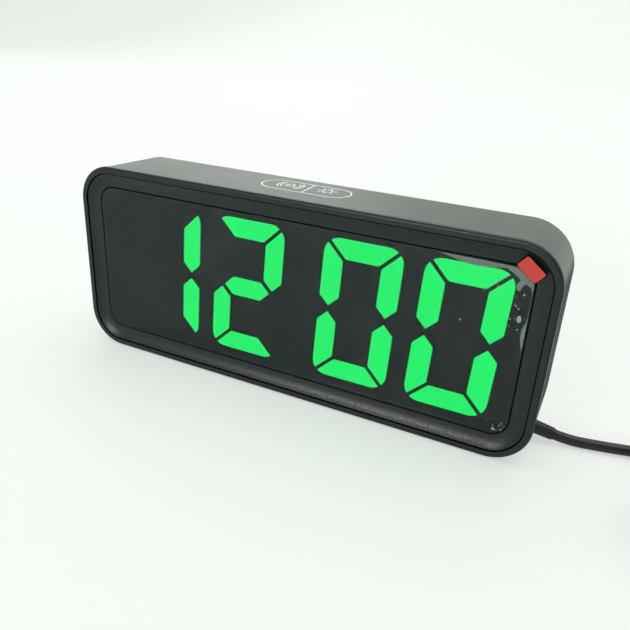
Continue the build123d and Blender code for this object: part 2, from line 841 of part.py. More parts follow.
button_end = case_depth - button_below_back
for name, place in zip(button_names, button_places()):
    with BuildPart() as switch_plunger:
        with BuildSketch(face(plunger_end)):
            with Locations(place):
                Circle(plunger_diameter / 2)
        extrude(amount=plunger_rise + plunger_depth)
    save(switch_plunger.part, f"{name}_switch_plunger")

    with BuildPart() as button:
        with BuildSketch(face(button_end)):
            with Locations(place):
                Circle(button_diameter / 2)
        extrude(amount=button_end - flange_back)
        fillet(button.faces().sort_by(Axis.Y)[-1].edges(), button_diameter / 12)
        with BuildSketch(face(flange_back)):
            with Locations(place):
                Circle(button_flange_diameter / 2)
        extrude(amount=button_flange_thickness)
        with BuildSketch(face(flange_back)):
            with Locations(place):
                Circle(plunger_diameter / 2)
        extrude(amount=flange_back - plunger_end)
    save(button.part, f"{name}_button")

# Pin header between the two boards
header_pin = 0.6
with BuildPart() as board_header:
    with BuildSketch(face(main_board_depth)):
        with Locations(header_place):
            Rectangle(header_length, header_width)
    extrude(amount=main_board_depth - led_board_back)
    fillet(board_header.edges().filter_by(Axis.Y), header_pin)
save(board_header.part, "board_header")

# Control chip on the front of the main board, with its two rows of leads
chip_length = 18.0
chip_width = 7.5
chip_thickness = 2.3
chip_leads = 14
chip_lead_width = 0.45
chip_lead_reach = 1.4
chip_x, chip_z = on_board(-0.032, 0.08)
with BuildPart() as control_chip:
    with BuildSketch(face(main_board_depth)):
        with Locations((chip_x, chip_z)):
            Rectangle(chip_length, chip_width)
    extrude(amount=chip_thickness)
    chamfer(control_chip.faces().sort_by(Axis.Y)[0].edges(), chip_lead_width)
    with BuildSketch(face(main_board_depth)):
        with Locations((chip_x, chip_z)):
            with GridLocations(chip_length / chip_leads, chip_width + chip_lead_reach, chip_leads, 2):
                Rectangle(chip_lead_width, chip_lead_reach)
    extrude(amount=chip_lead_width)
save(control_chip.part, "control_chip")

# Clock crystal standing in a can beside the chip
crystal_diameter = 3.0
crystal_length = 5.0
crystal_x, _ = on_board(-0.306, 0)
with BuildPart() as clock_crystal:
    with BuildSketch(face(main_board_depth)):
        with Locations((crystal_x, chip_z)):
            SlotOverall(crystal_length, crystal_diameter)
    extrude(amount=chip_thickness)
    fillet(clock_crystal.faces().sort_by(Axis.Y)[0].edges(), crystal_diameter / 8)
save(clock_crystal.part, "clock_crystal")

# Two round capacitors, the buzzer, the microphone on its legs and the temperature sensor
capacitor_diameter = 5.0
capacitor_height = 6.4
capacitor_x, _ = on_board(-0.226, 0)
with BuildPart() as board_capacitors:
    with BuildSketch(face(main_board_back + capacitor_height)):
        with Locations((capacitor_x, microphone_z)):
            with GridLocations(capacitor_diameter + 2 * cell_gap, 0, 2, 1):
                Circle(capacitor_diameter / 2)
    extrude(amount=capacitor_height)
    fillet(board_capacitors.edges().group_by(Axis.Y)[-1], capacitor_diameter / 12)
save(board_capacitors.part, "board_capacitors")

with BuildPart() as buzzer:
    with BuildSketch(face(main_board_back + buzzer_height)):
        with Locations((buzzer_x, buzzer_z)):
            Circle(buzzer_diameter / 2)
    extrude(amount=buzzer_height)
    fillet(buzzer.faces().sort_by(Axis.Y)[-1].edges(), sound_hole / 4)
    with BuildSketch(face(main_board_back + buzzer_height)):
        with Locations((buzzer_x, buzzer_z)):
            Circle(sound_hole / 2)
    extrude(amount=sound_hole, mode=Mode.SUBTRACT)
save(buzzer.part, "buzzer")

with BuildPart() as microphone:
    with BuildSketch(face(cavity_back)):
        with Locations((microphone_x, microphone_z)):
            Circle(microphone_diameter / 2)
    extrude(amount=microphone_height)
    with BuildSketch(face(cavity_back - microphone_height)):
        with Locations((microphone_x, microphone_z)):
            with GridLocations(microphone_diameter / 2, 0, 2, 1):
                Circle(header_pin / 2)
    extrude(amount=cavity_back - microphone_height - main_board_back)
save(microphone.part, "microphone")

sensor_diameter = 2.6
sensor_height = 5.0
sensor_x, _ = on_board(0.452, 0)
with BuildPart() as temperature_sensor:
    with BuildSketch(face(main_board_back + sensor_height)):
        with Locations((sensor_x, buzzer_z)):
            Circle(sensor_diameter / 2)
    extrude(amount=sensor_diameter)
    fillet(temperature_sensor.edges(), sensor_diameter / 5)
    with BuildSketch(face(main_board_back + sensor_height - sensor_diameter)):
        with Locations((sensor_x, buzzer_z)):
            with GridLocations(sensor_diameter / 2, 0, 2, 1):
                Circle(header_pin / 2)
    extrude(amount=sensor_height - sensor_diameter)
save(temperature_sensor.part, "temperature_sensor")

# Terminal for the two wires of the cord, at the lower edge of the main board
terminal_width = 7.4
terminal_height = 5.0
terminal_thickness = 5.4
terminal_x, _ = on_board(0.21, 0)
terminal_z = buzzer_z - (buzzer_diameter + terminal_height) / 2 - buzzer_terminal_gap
with BuildPart() as power_terminal:
    with BuildSketch(face(main_board_back + terminal_thickness)):
        with Locations((terminal_x, terminal_z)):
            Rectangle(terminal_width, terminal_height)
    extrude(amount=terminal_thickness)
    chamfer(power_terminal.faces().sort_by(Axis.Y)[-1].edges(), header_pin)
save(power_terminal.part, "power_terminal")

# Touch plate under the printed oval on the top, held to the inside of the top wall
touch_length = 31.0
touch_width = 12.0
touch_thickness = 0.3
touch_x = -3.2
touch_front_inset = 17.75
touch_top = face_height + cavity_height / 2 - housing_draft - fit_gap
with BuildPart() as touch_plate:
    with BuildSketch(Plane.XY.offset(touch_top)):
        with Locations((touch_x, front + touch_front_inset)):
            RectangleRounded(touch_length, touch_width, touch_width / 4)
    extrude(amount=-touch_thickness)
save(touch_plate.part, "touch_plate")

# Screws, each with a cross recess in its head
recess_share = 0.6
recess_arm_share = 0.16


def screw_group(places, head_face, head_diameter, head_height, shank, length, to_front):
    """Pan-head screws at these places, their heads on head_face, pointing to the front or the back."""
    way = 1 if to_front else -1
    with BuildPart() as screws:
        with BuildSketch(face(head_face)):
            with Locations(*places):
                Circle(head_diameter / 2)
        extrude(amount=-way * head_height)
        far = screws.faces().sort_by(Axis.Y)[-len(places) :] if to_front else None
        near = screws.faces().sort_by(Axis.Y)[: len(places)] if not to_front else None
        fillet((far or near).edges(), head_height / 3)
        with BuildSketch(face(head_face + way * head_height)):
            with Locations(*places):
                Rectangle(head_diameter * recess_share, head_diameter * recess_arm_share)
                Rectangle(head_diameter * recess_arm_share, head_diameter * recess_share)
        extrude(amount=way * head_height / 2, mode=Mode.SUBTRACT)
        with BuildSketch(face(head_face)):
            with Locations(*places):
                Circle(shank / 2)
        extrude(amount=way * length)
    return screws.part


def corners(half_x, half_z):
    """Four places, one in each corner."""
    return [(x, z) for x in (-half_x, half_x) for z in (-half_z, half_z)]


save(
    screw_group(
        corners(case_screw_x, case_screw_z), case_depth - screw_bore_depth, screw_head,
        screw_head_height, screw_shank, case_screw_length, True,
    ),
    "case_screws",
)
save(
    screw_group(
        corners(led_screw_x, digit_height / 4), led_board_back, small_screw_head,
        small_screw_head_height, small_screw_shank, small_screw_length, True,
    ),
    "led_board_screws",
)
save(
    screw_group(
        board_post_places, main_board_depth, small_screw_head,
        small_screw_head_height, small_screw_shank, small_screw_length, False,
    ),
    "main_board_screws",
)

# Rubber feet in the pockets under the housing
with BuildPart() as rubber_feet:
    with BuildSketch(Plane.XY):
        with Locations(*foot_places()):
            Circle(foot_diameter / 2)
    extrude(amount=foot_top)
    fillet(rubber_feet.edges().group_by(Axis.Z)[0], foot_round)
save(rubber_feet.part, "rubber_feet")

# Strain relief: a flange inside, a neck in the corner of the housing, a sleeve that tapers outside
relief_neck = relief_length - relief_flange_thickness
with BuildPart() as cord_strain_relief:
    with BuildSketch(relief_plane):
        Circle(relief_flange_diameter / 2)
    extrude(amount=relief_flange_thickness)
    with BuildSketch(relief_plane.offset(relief_flange_thickness)):
        Circle(relief_start_diameter / 2)
    extrude(amount=relief_neck / 2)
    with BuildSketch(relief_plane.offset(relief_length - relief_neck / 2)):
        Circle(relief_start_diameter / 2)
    with BuildSketch(relief_plane.offset(relief_length)):
        Circle(relief_end_diameter / 2)
    loft()
save(cord_strain_relief.part, "cord_strain_relief")


# Cords and wires
def turns(points):
    """The angle in degrees that a route turns through at each of its inner points."""
    runs = [Vector(*b) - Vector(*a) for a, b in zip(points, points[1:])]
    return [first.get_angle(second) for first, second in zip(runs, runs[1:])]


def route_radii(points):
    """The largest tangent arc that the runs beside each inner point allow."""
    runs = [(Vector(*b) - Vector(*a)).length for a, b in zip(points, points[1:])]
    return [
        0.45 * min(before, after) / math.tan(math.radians(turn / 2))
        for before, after, turn in zip(runs, runs[1:], turns(points))
    ]


def tube(points, diameter, label):
    """A round tube along a route of straight runs joined by tangent arcs."""
    radii = route_radii(points)
    with BuildPart() as tube_part:
        with BuildLine():
            path = FilletPolyline(*points, radius=radii)
        with BuildSketch(Plane(origin=path @ 0, z_dir=path % 0)):
            Circle(diameter / 2)
        sweep()
    share = tube_part.part.volume / (math.pi * diameter**2 / 4 * path.length)
    print(f"{label}: length {path.length:.1f}, volume share {share:.4f}, radii", [round(r, 1) for r in radii])
    return tube_part.part


# Two wires from the strain relief to the terminal
wire_spread = 1.6
wire_lead = 3.0
terminal_y = front + main_board_back + terminal_thickness / 2
terminal_low = face_height + terminal_z - terminal_height / 2
post_top = face_height - case_screw_z + post_diameter / 2
wires = []
for side, low in ((1, post_top + 2 * wire_diameter), (-1, post_top + wire_diameter * 3 / 4)):
    leave = relief_plane.from_local_coords(Vector(-side * wire_spread / 2, 0, 0))
    inward = leave - relief_axis * wire_lead
    end_x = terminal_x + side * wire_spread
    wire_route = [
        tuple(leave),
        tuple(inward),
        (inward.X - wire_lead, inward.Y + wire_lead / 2, low),
        (end_x + 2 * wire_lead, terminal_y, low),
        (end_x, terminal_y, low),
        (end_x, terminal_y, terminal_low),
    ]
    wires.append(tube(wire_route, wire_diameter, "power wire"))
save(Compound(children=wires), "power_wires")

# Two wires from the battery bay to the main board
battery_wire_x = main_board_x - main_board_width / 2 + wall
battery_wire_y = front + cell_depth
wires = []
for row_z in (cell_diameter, -cell_diameter):
    height = face_height + row_z
    wire_route = [
        (bay_side, battery_wire_y, height),
        (bay_side + wire_lead, battery_wire_y, height),
        (battery_wire_x - wire_lead, battery_wire_y, height + wire_diameter),
        (battery_wire_x, battery_wire_y, height + wire_diameter),
        (battery_wire_x, front + main_board_back, height + wire_diameter),
    ]
    wires.append(tube(wire_route, wire_diameter, "battery wire"))
save(Compound(children=wires), "battery_wires")

# The wire from the touch plate down to the upper edge of the main board
touch_wire_lead = 2.0
plate_wire_x = touch_x + touch_length / 2 - wall
board_wire_x = main_board_x - main_board_width / 2 + 2 * wall
touch_wire_y = front + main_board_depth + board_thickness / 2
plate_low = touch_top - touch_thickness
board_top = face_height + main_board_z + main_board_height / 2
wire_route = [
    (plate_wire_x, touch_wire_y, plate_low),
    (plate_wire_x, touch_wire_y, plate_low - touch_wire_lead),
    (board_wire_x, touch_wire_y, board_top + touch_wire_lead),
    (board_wire_x, touch_wire_y, board_top),
]
save(tube(wire_route, wire_diameter, "touch wire"), "touch_wire")

# Power cord: the stretch on the table, the coil of what is put away, and the tail to the plug
tie_thickness = 0.4
tie_width = 5.0
tie_clearance = 0.15
turn_gap = 0.5
coil_radius = 21.8
coil_layers = 4
coil_layer_turns = 2
coil_turns = coil_layers * coil_layer_turns
coil_side_distance = 60.0
coil_pitch = cord_diameter + turn_gap
coil_top_y = back - cord_diameter / 2
coil_centre = (case_width / 2 + coil_side_distance, coil_top_y - coil_radius)
coil_low = tie_thickness + tie_clearance + cord_diameter / 2
coil_high = coil_low + (coil_layers - 1) * coil_pitch
coil_start = (coil_centre[0] - cord_diameter, coil_top_y, coil_low)
coil_finish = (coil_centre[0] + cord_diameter, coil_top_y, coil_high)


def beside(distance, y, height):
    """A point of the cord, by its distance from the right side of the case."""
    return (case_width / 2 + distance, y, height)


cord_lead = 4.6
cord_route = [
    relief_end,
    tuple(Vector(*relief_end) + relief_axis * cord_lead),
    beside(17.6, 7.25, 1.68),
    beside(27.4, 9.55, 1.75),
    beside(37.0, 11.6, 2.0),
    beside(46.6, coil_top_y, coil_low),
    coil_start,
]
save(tube(cord_route, cord_diameter, "power cord"), "power_cord")

# The tail turns back over the coil, where the plug lies
plug_thickness = 7.9
plug_axis_z = coil_high + cord_diameter / 2 + moving_gap + plug_thickness / 2
tail_route = [
    coil_finish,
    beside(77.6, coil_top_y, coil_high),
    beside(87.7, 2.5, 15.6),
    beside(87.7, -11.8, 17.9),
    beside(77.6, -21.9, plug_axis_z),
    beside(63.3, -21.9, plug_axis_z),
]
save(tube(tail_route, cord_diameter, "cord tail"), "cord_tail")


def coil_place(turn):
    """The centre of the cord after this many turns: it spirals in and out, a layer each way."""
    angle = math.pi / 2 - 2 * math.pi * turn
    inward = coil_layer_turns - abs(turn % (2 * coil_layer_turns) - coil_layer_turns)
    climbs = [
        min(max((turn - layer * coil_layer_turns) * 2 + 0.5, 0), 1) for layer in range(1, coil_layers)
    ]
    radius = coil_radius - coil_pitch * inward
    return Vector(
        coil_centre[0] + radius * math.cos(angle),
        coil_centre[1] + radius * math.sin(angle),
        coil_low + coil_pitch * sum(climb**2 * (3 - 2 * climb) for climb in climbs),
    )


def coil_heading(turn):
    """The direction of the cord there, square to the ends of the coil at its two ends."""
    if turn in (0, coil_turns):
        return Vector(1, 0, 0)
    small = 0.001
    return (coil_place(turn + small) - coil_place(turn - small)).normalized()


def biarc_joint(start, start_heading, end, end_heading):
    """Where two tangent arcs between these ends meet, and their direction there."""
    chord = end - start
    both = chord.dot(start_heading + end_heading)
    bend = 2 * (1 - start_heading.dot(end_heading))
    reach = (math.sqrt(both**2 + bend * chord.dot(chord)) - both) / bend
    leave = start + start_heading * reach
    arrive = end - end_heading * reach
    return (leave + arrive) * 0.5, (arrive - leave).normalized()


coil_nodes = [quarter / 4 for quarter in range(4 * coil_turns + 1)]
with BuildPart() as cord_coil:
    with BuildLine() as coil_line:
        Line(coil_start, coil_place(0))
        for turn, next_turn in zip(coil_nodes, coil_nodes[1:]):
            first, heading = coil_place(turn), coil_heading(turn)
            second, next_heading = coil_place(next_turn), coil_heading(next_turn)
            joint, joint_heading = biarc_joint(first, heading, second, next_heading)
            TangentArc(first, joint, tangent=heading)
            TangentArc(joint, second, tangent=joint_heading)
        Line(coil_place(coil_turns), coil_finish)
    coil_wire = coil_line.wire()
    with BuildSketch(Plane(origin=coil_wire @ 0, z_dir=coil_wire % 0)):
        Circle(cord_diameter / 2)
    sweep(path=coil_wire)
save(cord_coil.part, "cord_coil")

# The least gap of the coil to itself, measured on points along it
samples = 900
coil_points = [coil_wire @ (i / samples) for i in range(samples + 1)]
apart = math.ceil(4 * cord_diameter / (coil_wire.length / samples))
least = min(
    (a - b).length for i, a in enumerate(coil_points) for b in coil_points[i + apart :: 2]
)
section = math.pi * cord_diameter**2 / 4
print(f"coil: length {coil_wire.length:.1f}, least gap to itself {least - cord_diameter:.2f}")
print(f"coil: volume share {cord_coil.part.volume / (section * coil_wire.length):.4f}")

# A flat tie round the turns of the coil, on the side nearer the clock
side_turn_share = 0.25
bundle_inner = coil_radius - coil_pitch * (coil_layer_turns - side_turn_share) - cord_diameter / 2
bundle_outer = coil_radius - coil_pitch * side_turn_share + cord_diameter / 2
tie_x = coil_centre[0] - (bundle_inner + bundle_outer) / 2
tie_inner_width = bundle_outer - bundle_inner + 4 * moving_gap
tie_inner_height = coil_high + cord_diameter / 2 + moving_gap - tie_thickness
with BuildPart() as cord_tie:
    tie_middle = (tie_x, coil_centre[1], tie_thickness + tie_inner_height / 2)
    with BuildSketch(Plane(origin=tie_middle, x_dir=(1, 0, 0), z_dir=(0, -1, 0))):
        RectangleRounded(
            tie_inner_width + 2 * tie_thickness, tie_inner_height + 2 * tie_thickness, 2 * tie_thickness
        )
        RectangleRounded(tie_inner_width, tie_inner_height, tie_thickness, mode=Mode.SUBTRACT)
    extrude(amount=tie_width / 2, both=True)
save(cord_tie.part, "cord_tie")

# USB plug: overmould with a nose for the cord, metal shell and contact tongue
plug_width = 15.6
plug_body_length = 18.0
plug_nose_length = 5.0
plug_nose_diameter = 5.6
plug_round = 2.0
shell_width = 12.0
shell_height = 4.5
shell_length = 11.75
shell_wall = 0.3
shell_round = 0.5
shell_window = 2.2
tongue_height = 1.84
tongue_recess = 1.0
plug_start = Plane(origin=tail_route[-1], x_dir=(0, -1, 0), z_dir=(-1, 0, 0))
with BuildPart() as usb_plug_body:
    with BuildSketch(plug_start.offset(plug_nose_length)):
        RectangleRounded(plug_width, plug_thickness, plug_round)
    extrude(amount=plug_body_length)
    fillet(usb_plug_body.faces().sort_by(Axis.X)[-1].edges(), plug_round / 2)
    with BuildSketch(plug_start):
        Circle(plug_nose_diameter / 2)
    extrude(amount=plug_nose_length)
save(usb_plug_body.part, "usb_plug_body")

shell_start = plug_start.offset(plug_nose_length + plug_body_length)
with BuildPart() as usb_plug_shell:
    with BuildSketch(shell_start):
        RectangleRounded(shell_width, shell_height, shell_round)
        RectangleRounded(
            shell_width - 2 * shell_wall, shell_height - 2 * shell_wall, shell_round - shell_wall,
            mode=Mode.SUBTRACT,
        )
    extrude(amount=shell_length)
    with BuildSketch(Plane.XY.offset(plug_axis_z)):
        with Locations((shell_start.origin.X - shell_length / 2, shell_start.origin.Y)):
            with GridLocations(0, shell_width / 2, 1, 2):
                Rectangle(shell_window, shell_window)
    extrude(amount=shell_height, mode=Mode.SUBTRACT)
save(usb_plug_shell.part, "usb_plug_shell")

with BuildPart() as usb_plug_tongue:
    with BuildSketch(shell_start):
        with Locations((0, shell_height / 2 - shell_wall - tongue_height / 2 - fit_gap)):
            Rectangle(shell_width - 2 * shell_wall - 4 * fit_gap, tongue_height)
    extrude(amount=shell_length - tongue_recess)
save(usb_plug_tongue.part, "usb_plug_tongue")
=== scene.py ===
"""Looks of the digital LED desk clock: finishes, printed marks, film, cord and studio stage."""

import math

import bmesh
import bpy
from bpy.props import FloatProperty, FloatVectorProperty, PointerProperty, StringProperty
from mathutils import Matrix, Vector


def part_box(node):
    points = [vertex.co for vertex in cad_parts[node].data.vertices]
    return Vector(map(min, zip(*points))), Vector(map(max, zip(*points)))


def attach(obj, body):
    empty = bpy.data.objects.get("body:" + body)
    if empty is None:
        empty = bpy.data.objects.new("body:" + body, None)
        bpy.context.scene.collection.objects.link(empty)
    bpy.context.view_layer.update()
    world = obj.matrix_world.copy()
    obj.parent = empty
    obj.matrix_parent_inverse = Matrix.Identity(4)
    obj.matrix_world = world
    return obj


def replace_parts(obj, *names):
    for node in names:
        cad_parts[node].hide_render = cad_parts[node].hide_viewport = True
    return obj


bl_info = {
    "name": "Digital LED Desk Clock",
    "version": (1, 0, 0),
    "blender": (4, 5, 0),
    "location": "View3D > Sidebar > Desk Clock",
    "description": "Dresses the desk clock in its finishes and sets it on a pale stage",
    "category": "Object",
}

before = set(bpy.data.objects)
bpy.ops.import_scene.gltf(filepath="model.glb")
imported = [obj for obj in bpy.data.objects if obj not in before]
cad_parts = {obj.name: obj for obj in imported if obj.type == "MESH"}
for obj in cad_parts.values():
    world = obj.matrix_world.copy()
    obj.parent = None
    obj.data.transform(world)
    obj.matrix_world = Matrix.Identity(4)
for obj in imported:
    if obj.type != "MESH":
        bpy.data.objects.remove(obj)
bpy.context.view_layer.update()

# One millimetre, in metres
MM = 0.001
# The lit segments of each figure, lettered from the top clockwise, with the crossbar last
SEGMENTS_OF = {
    "0": "abcdef", "1": "bc", "2": "abdeg", "3": "abcdg", "4": "bcfg",
    "5": "acdfg", "6": "acdefg", "7": "abc", "8": "abcdefg", "9": "abcdfg", " ": "",
}
DIGITS = ("hour_tens", "hour_units", "minute_tens", "minute_units")
BUTTONS = ("mode", "set", "up", "down")
# How far a digit leans to the right for each unit of its height
LEAN = 0.048
BLACK = (0.0, 0.0, 0.0)


class Amount:
    """A number that varies over a surface: arithmetic on it adds Math nodes to its finish."""

    def __init__(self, finish, socket):
        self.finish = finish
        self.socket = socket

    def math(self, operation, *numbers):
        """A Math node on these numbers, or on this one alone."""
        inputs = dict(enumerate(numbers or (self,)))
        return self.finish.node("ShaderNodeMath", {"operation": operation}, inputs)

    def __add__(self, other):
        return self.math("ADD", self, other)

    def __sub__(self, other):
        return self.math("SUBTRACT", self, other)

    def __rsub__(self, other):
        return self.math("SUBTRACT", other, self)

    def __mul__(self, other):
        return self.math("MULTIPLY", self, other)

    def __gt__(self, other):
        return self.math("GREATER_THAN", self, other)

    def __lt__(self, other):
        return self.math("LESS_THAN", self, other)

    def __abs__(self):
        return self.math("ABSOLUTE")

    __radd__ = __add__
    __rmul__ = __mul__


class Finish:
    """One material, with the coordinates and patterns that feed its shader."""

    def __init__(self, name):
        self.material = bpy.data.materials.new(name)
        self.material.use_nodes = True
        self.tree = self.material.node_tree
        self.tree.nodes.clear()
        self.place = self.node("ShaderNodeTexCoord", output="Object")

    def node(self, kind, settings=None, inputs=None, output=0):
        """A node with these settings and with values or links in its sockets, as one output."""
        node = self.tree.nodes.new(kind)
        for name, value in (settings or {}).items():
            setattr(node, name, value)
        for name, value in (inputs or {}).items():
            if isinstance(value, Amount):
                self.tree.links.new(value.socket, node.inputs[name])
            else:
                node.inputs[name].default_value = value
        return Amount(self, node.outputs[output]) if node.outputs else node

    def axes(self):
        """The X, Y and Z of a point of the piece."""
        parts = self.node("ShaderNodeSeparateXYZ", None, {0: self.place}).socket.node
        return [Amount(self, parts.outputs[name]) for name in ("X", "Y", "Z")]

    def inside_edge(self, low, high, radius):
        """How far a point lies inside the rounded outline of a face that looks along Y."""
        x, _, z = self.axes()
        out_x = abs(x - (low.x + high.x) / 2) - ((high.x - low.x) / 2 - radius)
        out_z = abs(z - (low.z + high.z) / 2) - ((high.z - low.z) / 2 - radius)
        corner_x, corner_z = out_x.math("MAXIMUM", out_x, 0.0), out_z.math("MAXIMUM", out_z, 0.0)
        corner = (corner_x * corner_x + corner_z * corner_z).math("SQRT")
        side = out_x.math("MAXIMUM", out_x, out_z)
        return radius - (corner + side.math("MINIMUM", side, 0.0))

    def noise(self, scale, detail=2.0, stretch=None):
        """A cloudy pattern, finer along an axis whose stretch is over 1."""
        place = self.place
        if stretch:
            place = self.node("ShaderNodeMapping", None, {"Vector": place, "Scale": stretch})
        return self.node(
            "ShaderNodeTexNoise", None, {"Vector": place, "Scale": scale, "Detail": detail}
        )

    def cloud(self):
        """The slow mottling that flowing plastic leaves on a moulding."""
        return self.noise(38.0, 3.0)

    def grade(self, value, low, high, to_low=0.0, to_high=1.0):
        """Maps a value from low..high to to_low..to_high, clamped."""
        return self.node(
            "ShaderNodeMapRange", None, {0: value, 1: low, 2: high, 3: to_low, 4: to_high}
        )

    def spread(self, pattern, to_low, to_high):
        """Spreads the middle of a cloudy pattern over a range."""
        return self.grade(pattern, 0.3, 0.7, to_low, to_high)

    def mix(self, factor, first, second):
        """A colour between two colours."""
        first, second = (c if isinstance(c, Amount) else (*c[:3], 1.0) for c in (first, second))
        return self.node(
            "ShaderNodeMix", {"data_type": "RGBA"}, {0: factor, 6: first, 7: second}, 2
        )

    def bump(self, height, strength, distance):
        """Relief for the Normal socket, its distance in metres."""
        return self.node(
            "ShaderNodeBump", None, {"Strength": strength, "Distance": distance, "Height": height}
        )

    def smeared(self, colour, low, high):
        """Colour and gloss of a smooth face with faint smears, as sockets of its shader."""
        smear = self.noise(55.0, 4.0, (1.0, 1.0, 2.4))
        return {
            "Base_Color": self.mix(smear, shade(colour, 0.9), shade(colour, 1.12)),
            "Roughness": self.grade(smear, 0.35, 0.7, low, high),
        }

    def shader(self, **sockets):
        """A shader with these sockets."""
        inputs = {}
        for name, value in sockets.items():
            name = name.replace("_", " ")
            colour = name in ("Base Color", "Emission Color") and not isinstance(value, Amount)
            inputs[name] = (*value[:3], 1.0) if colour else value
        return self.node("ShaderNodeBsdfPrincipled", None, inputs)

    def close(self, shader):
        """Ends the finish in this shader."""
        self.node("ShaderNodeOutputMaterial", None, {"Surface": shader})
        return self.material

    def surface(self, **sockets):
        """Ends the finish in one shader with these sockets."""
        return self.close(self.shader(**sockets))


def shade(colour, share):
    """The colour made darker or lighter by a share."""
    return tuple(min(1.0, part * share) for part in colour[:3])


def moulded_plastic(name, colour, roughness, grain=2600.0, relief=0.3, level=0.5):
    """Plastic out of a spark-eroded mould: fine grain, faint mottling, slightly uneven gloss."""
    finish = Finish(name)
    cloud = finish.cloud()
    return finish.surface(
        Base_Color=finish.mix(cloud, shade(colour, 0.82), shade(colour, 1.22)),
        Roughness=finish.spread(cloud, roughness - 0.04, roughness + 0.05),
        Normal=finish.bump(finish.noise(grain, 3.0), relief, 0.04 * MM),
        Specular_IOR_Level=level,
    )


def polished_plastic(name, colour, roughness):
    """Smooth plastic with faint smears in its gloss."""
    finish = Finish(name)
    return finish.surface(**finish.smeared(colour, roughness, roughness + 0.06))


def plated_metal(name, colour, roughness, stretch=(1.0, 1.0, 9.0)):
    """Plated metal with drawing lines and a little tarnish."""
    finish = Finish(name)
    lines = finish.noise(900.0, 2.0, stretch)
    tarnish = finish.noise(120.0, 3.0)
    return finish.surface(
        Base_Color=finish.mix(tarnish, colour, shade(colour, 0.72)), Metallic=1.0,
        Roughness=finish.spread(lines, roughness - 0.08, roughness + 0.1),
        Normal=finish.bump(lines, 0.15, 0.02 * MM),
    )


def board_laminate(name, colour):
    """Glass-fibre board: solder mask over a faint weave, with lighter tracks under it."""
    finish = Finish(name)
    x, _, z = finish.axes()
    weave = 1500.0
    warp, weft = (x * weave).math("SINE"), (z * weave).math("SINE")
    tracks = finish.node(
        "ShaderNodeTexVoronoi", {"distance": "MANHATTAN"},
        {"Vector": finish.place, "Scale": 260.0}, "Color",
    )
    return finish.surface(
        Base_Color=finish.mix(finish.grade(tracks, 0.45, 0.55), colour, shade(colour, 1.5)),
        Roughness=0.32, Normal=finish.bump(warp * weft, 0.2, 0.03 * MM),
    )


def dress(material, *nodes):
    """Puts a finish on CAD nodes."""
    for node in nodes:
        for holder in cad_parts[node].material_slots:
            holder.material = material


def add_piece(name, mesh, material):
    """A new piece of the clock from a bmesh, riding on the case."""
    data = bpy.data.meshes.new(name)
    bmesh.ops.recalc_face_normals(mesh, faces=mesh.faces)
    mesh.to_mesh(data)
    mesh.free()
    piece = bpy.data.objects.new(name, data)
    bpy.context.scene.collection.objects.link(piece)
    data.materials.append(material)
    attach(piece, "case")
    return piece


def pull_edge(mesh, edge, way):
    """Pulls an edge out into a face, and gives the edge at its far side."""
    made = bmesh.ops.extrude_edge_only(mesh, edges=[edge])["geom"]
    verts = [item for item in made if isinstance(item, bmesh.types.BMVert)]
    bmesh.ops.translate(mesh, verts=verts, vec=way)
    return next(item for item in made if isinstance(item, bmesh.types.BMEdge))


# Strokes of a flat print, drawn in X and Y on the plane Z = 0, in millimetres

def arc_stroke(mesh, centre, radius, start, sweep, width):
    """An arc of ink: a short radial edge spun about the centre, angles in degrees."""
    centre = Vector(centre).to_3d()
    turn = Matrix.Rotation(math.radians(start), 4, "Z")
    ends = [centre + turn @ Vector((radius + side * width / 2, 0, 0)) for side in (-1, 1)]
    edge = mesh.edges.new([mesh.verts.new(end) for end in ends])
    bmesh.ops.spin(
        mesh, geom=[edge, *edge.verts], cent=centre, axis=(0, 0, 1),
        angle=math.radians(sweep), steps=24, use_merge=abs(sweep) >= 360,
    )


def line_stroke(mesh, start, end, width):
    """A straight stroke of ink."""
    start, end = Vector(start).to_3d(), Vector(end).to_3d()
    along = (end - start).normalized()
    across = along.cross(Vector((0, 0, 1))) * width / 2
    edge = mesh.edges.new([mesh.verts.new(start - across), mesh.verts.new(start + across)])
    pull_edge(mesh, edge, end - start)


def outline_patch(mesh, points):
    """A flat patch with this outline."""
    verts = [mesh.verts.new(Vector(point).to_3d()) for point in points]
    edges = [mesh.edges.new((a, b)) for a, b in zip(verts, verts[1:] + verts[:1])]
    bmesh.ops.triangle_fill(mesh, edges=edges, use_beauty=True)


def thicken(mesh, thickness):
    """Gives flat ink or film its thickness, upwards."""
    faces = bmesh.ops.extrude_face_region(mesh, geom=mesh.faces[:])["geom"]
    verts = [item for item in faces if isinstance(item, bmesh.types.BMVert)]
    bmesh.ops.translate(mesh, verts=verts, vec=(0, 0, thickness))


def settle(mesh, matrix):
    """Takes a mesh drawn in millimetres to its place in metres."""
    bmesh.ops.transform(mesh, matrix=matrix @ Matrix.Scale(MM, 4), verts=mesh.verts)


class ClockSizes(bpy.types.PropertyGroup):
    """Sizes of the printed marks and the cord."""

    print_width: FloatProperty(
        name="Print width", description="Length of the oval printed on the top",
        default=0.0307, unit="LENGTH",
    )
    print_height: FloatProperty(
        name="Print height", description="Width of the oval printed on the top",
        default=0.0120, unit="LENGTH",
    )
    print_line: FloatProperty(
        name="Print line", description="Width of the printed lines",
        default=0.00048, unit="LENGTH",
    )
    cord_diameter: FloatProperty(
        name="Cord diameter", description="Outer diameter of the cord",
        default=0.0033, unit="LENGTH",
    )
    cord_length: FloatProperty(
        name="Cord length", description="Length of the cord from the case to its plug",
        default=1.03, unit="LENGTH",
    )


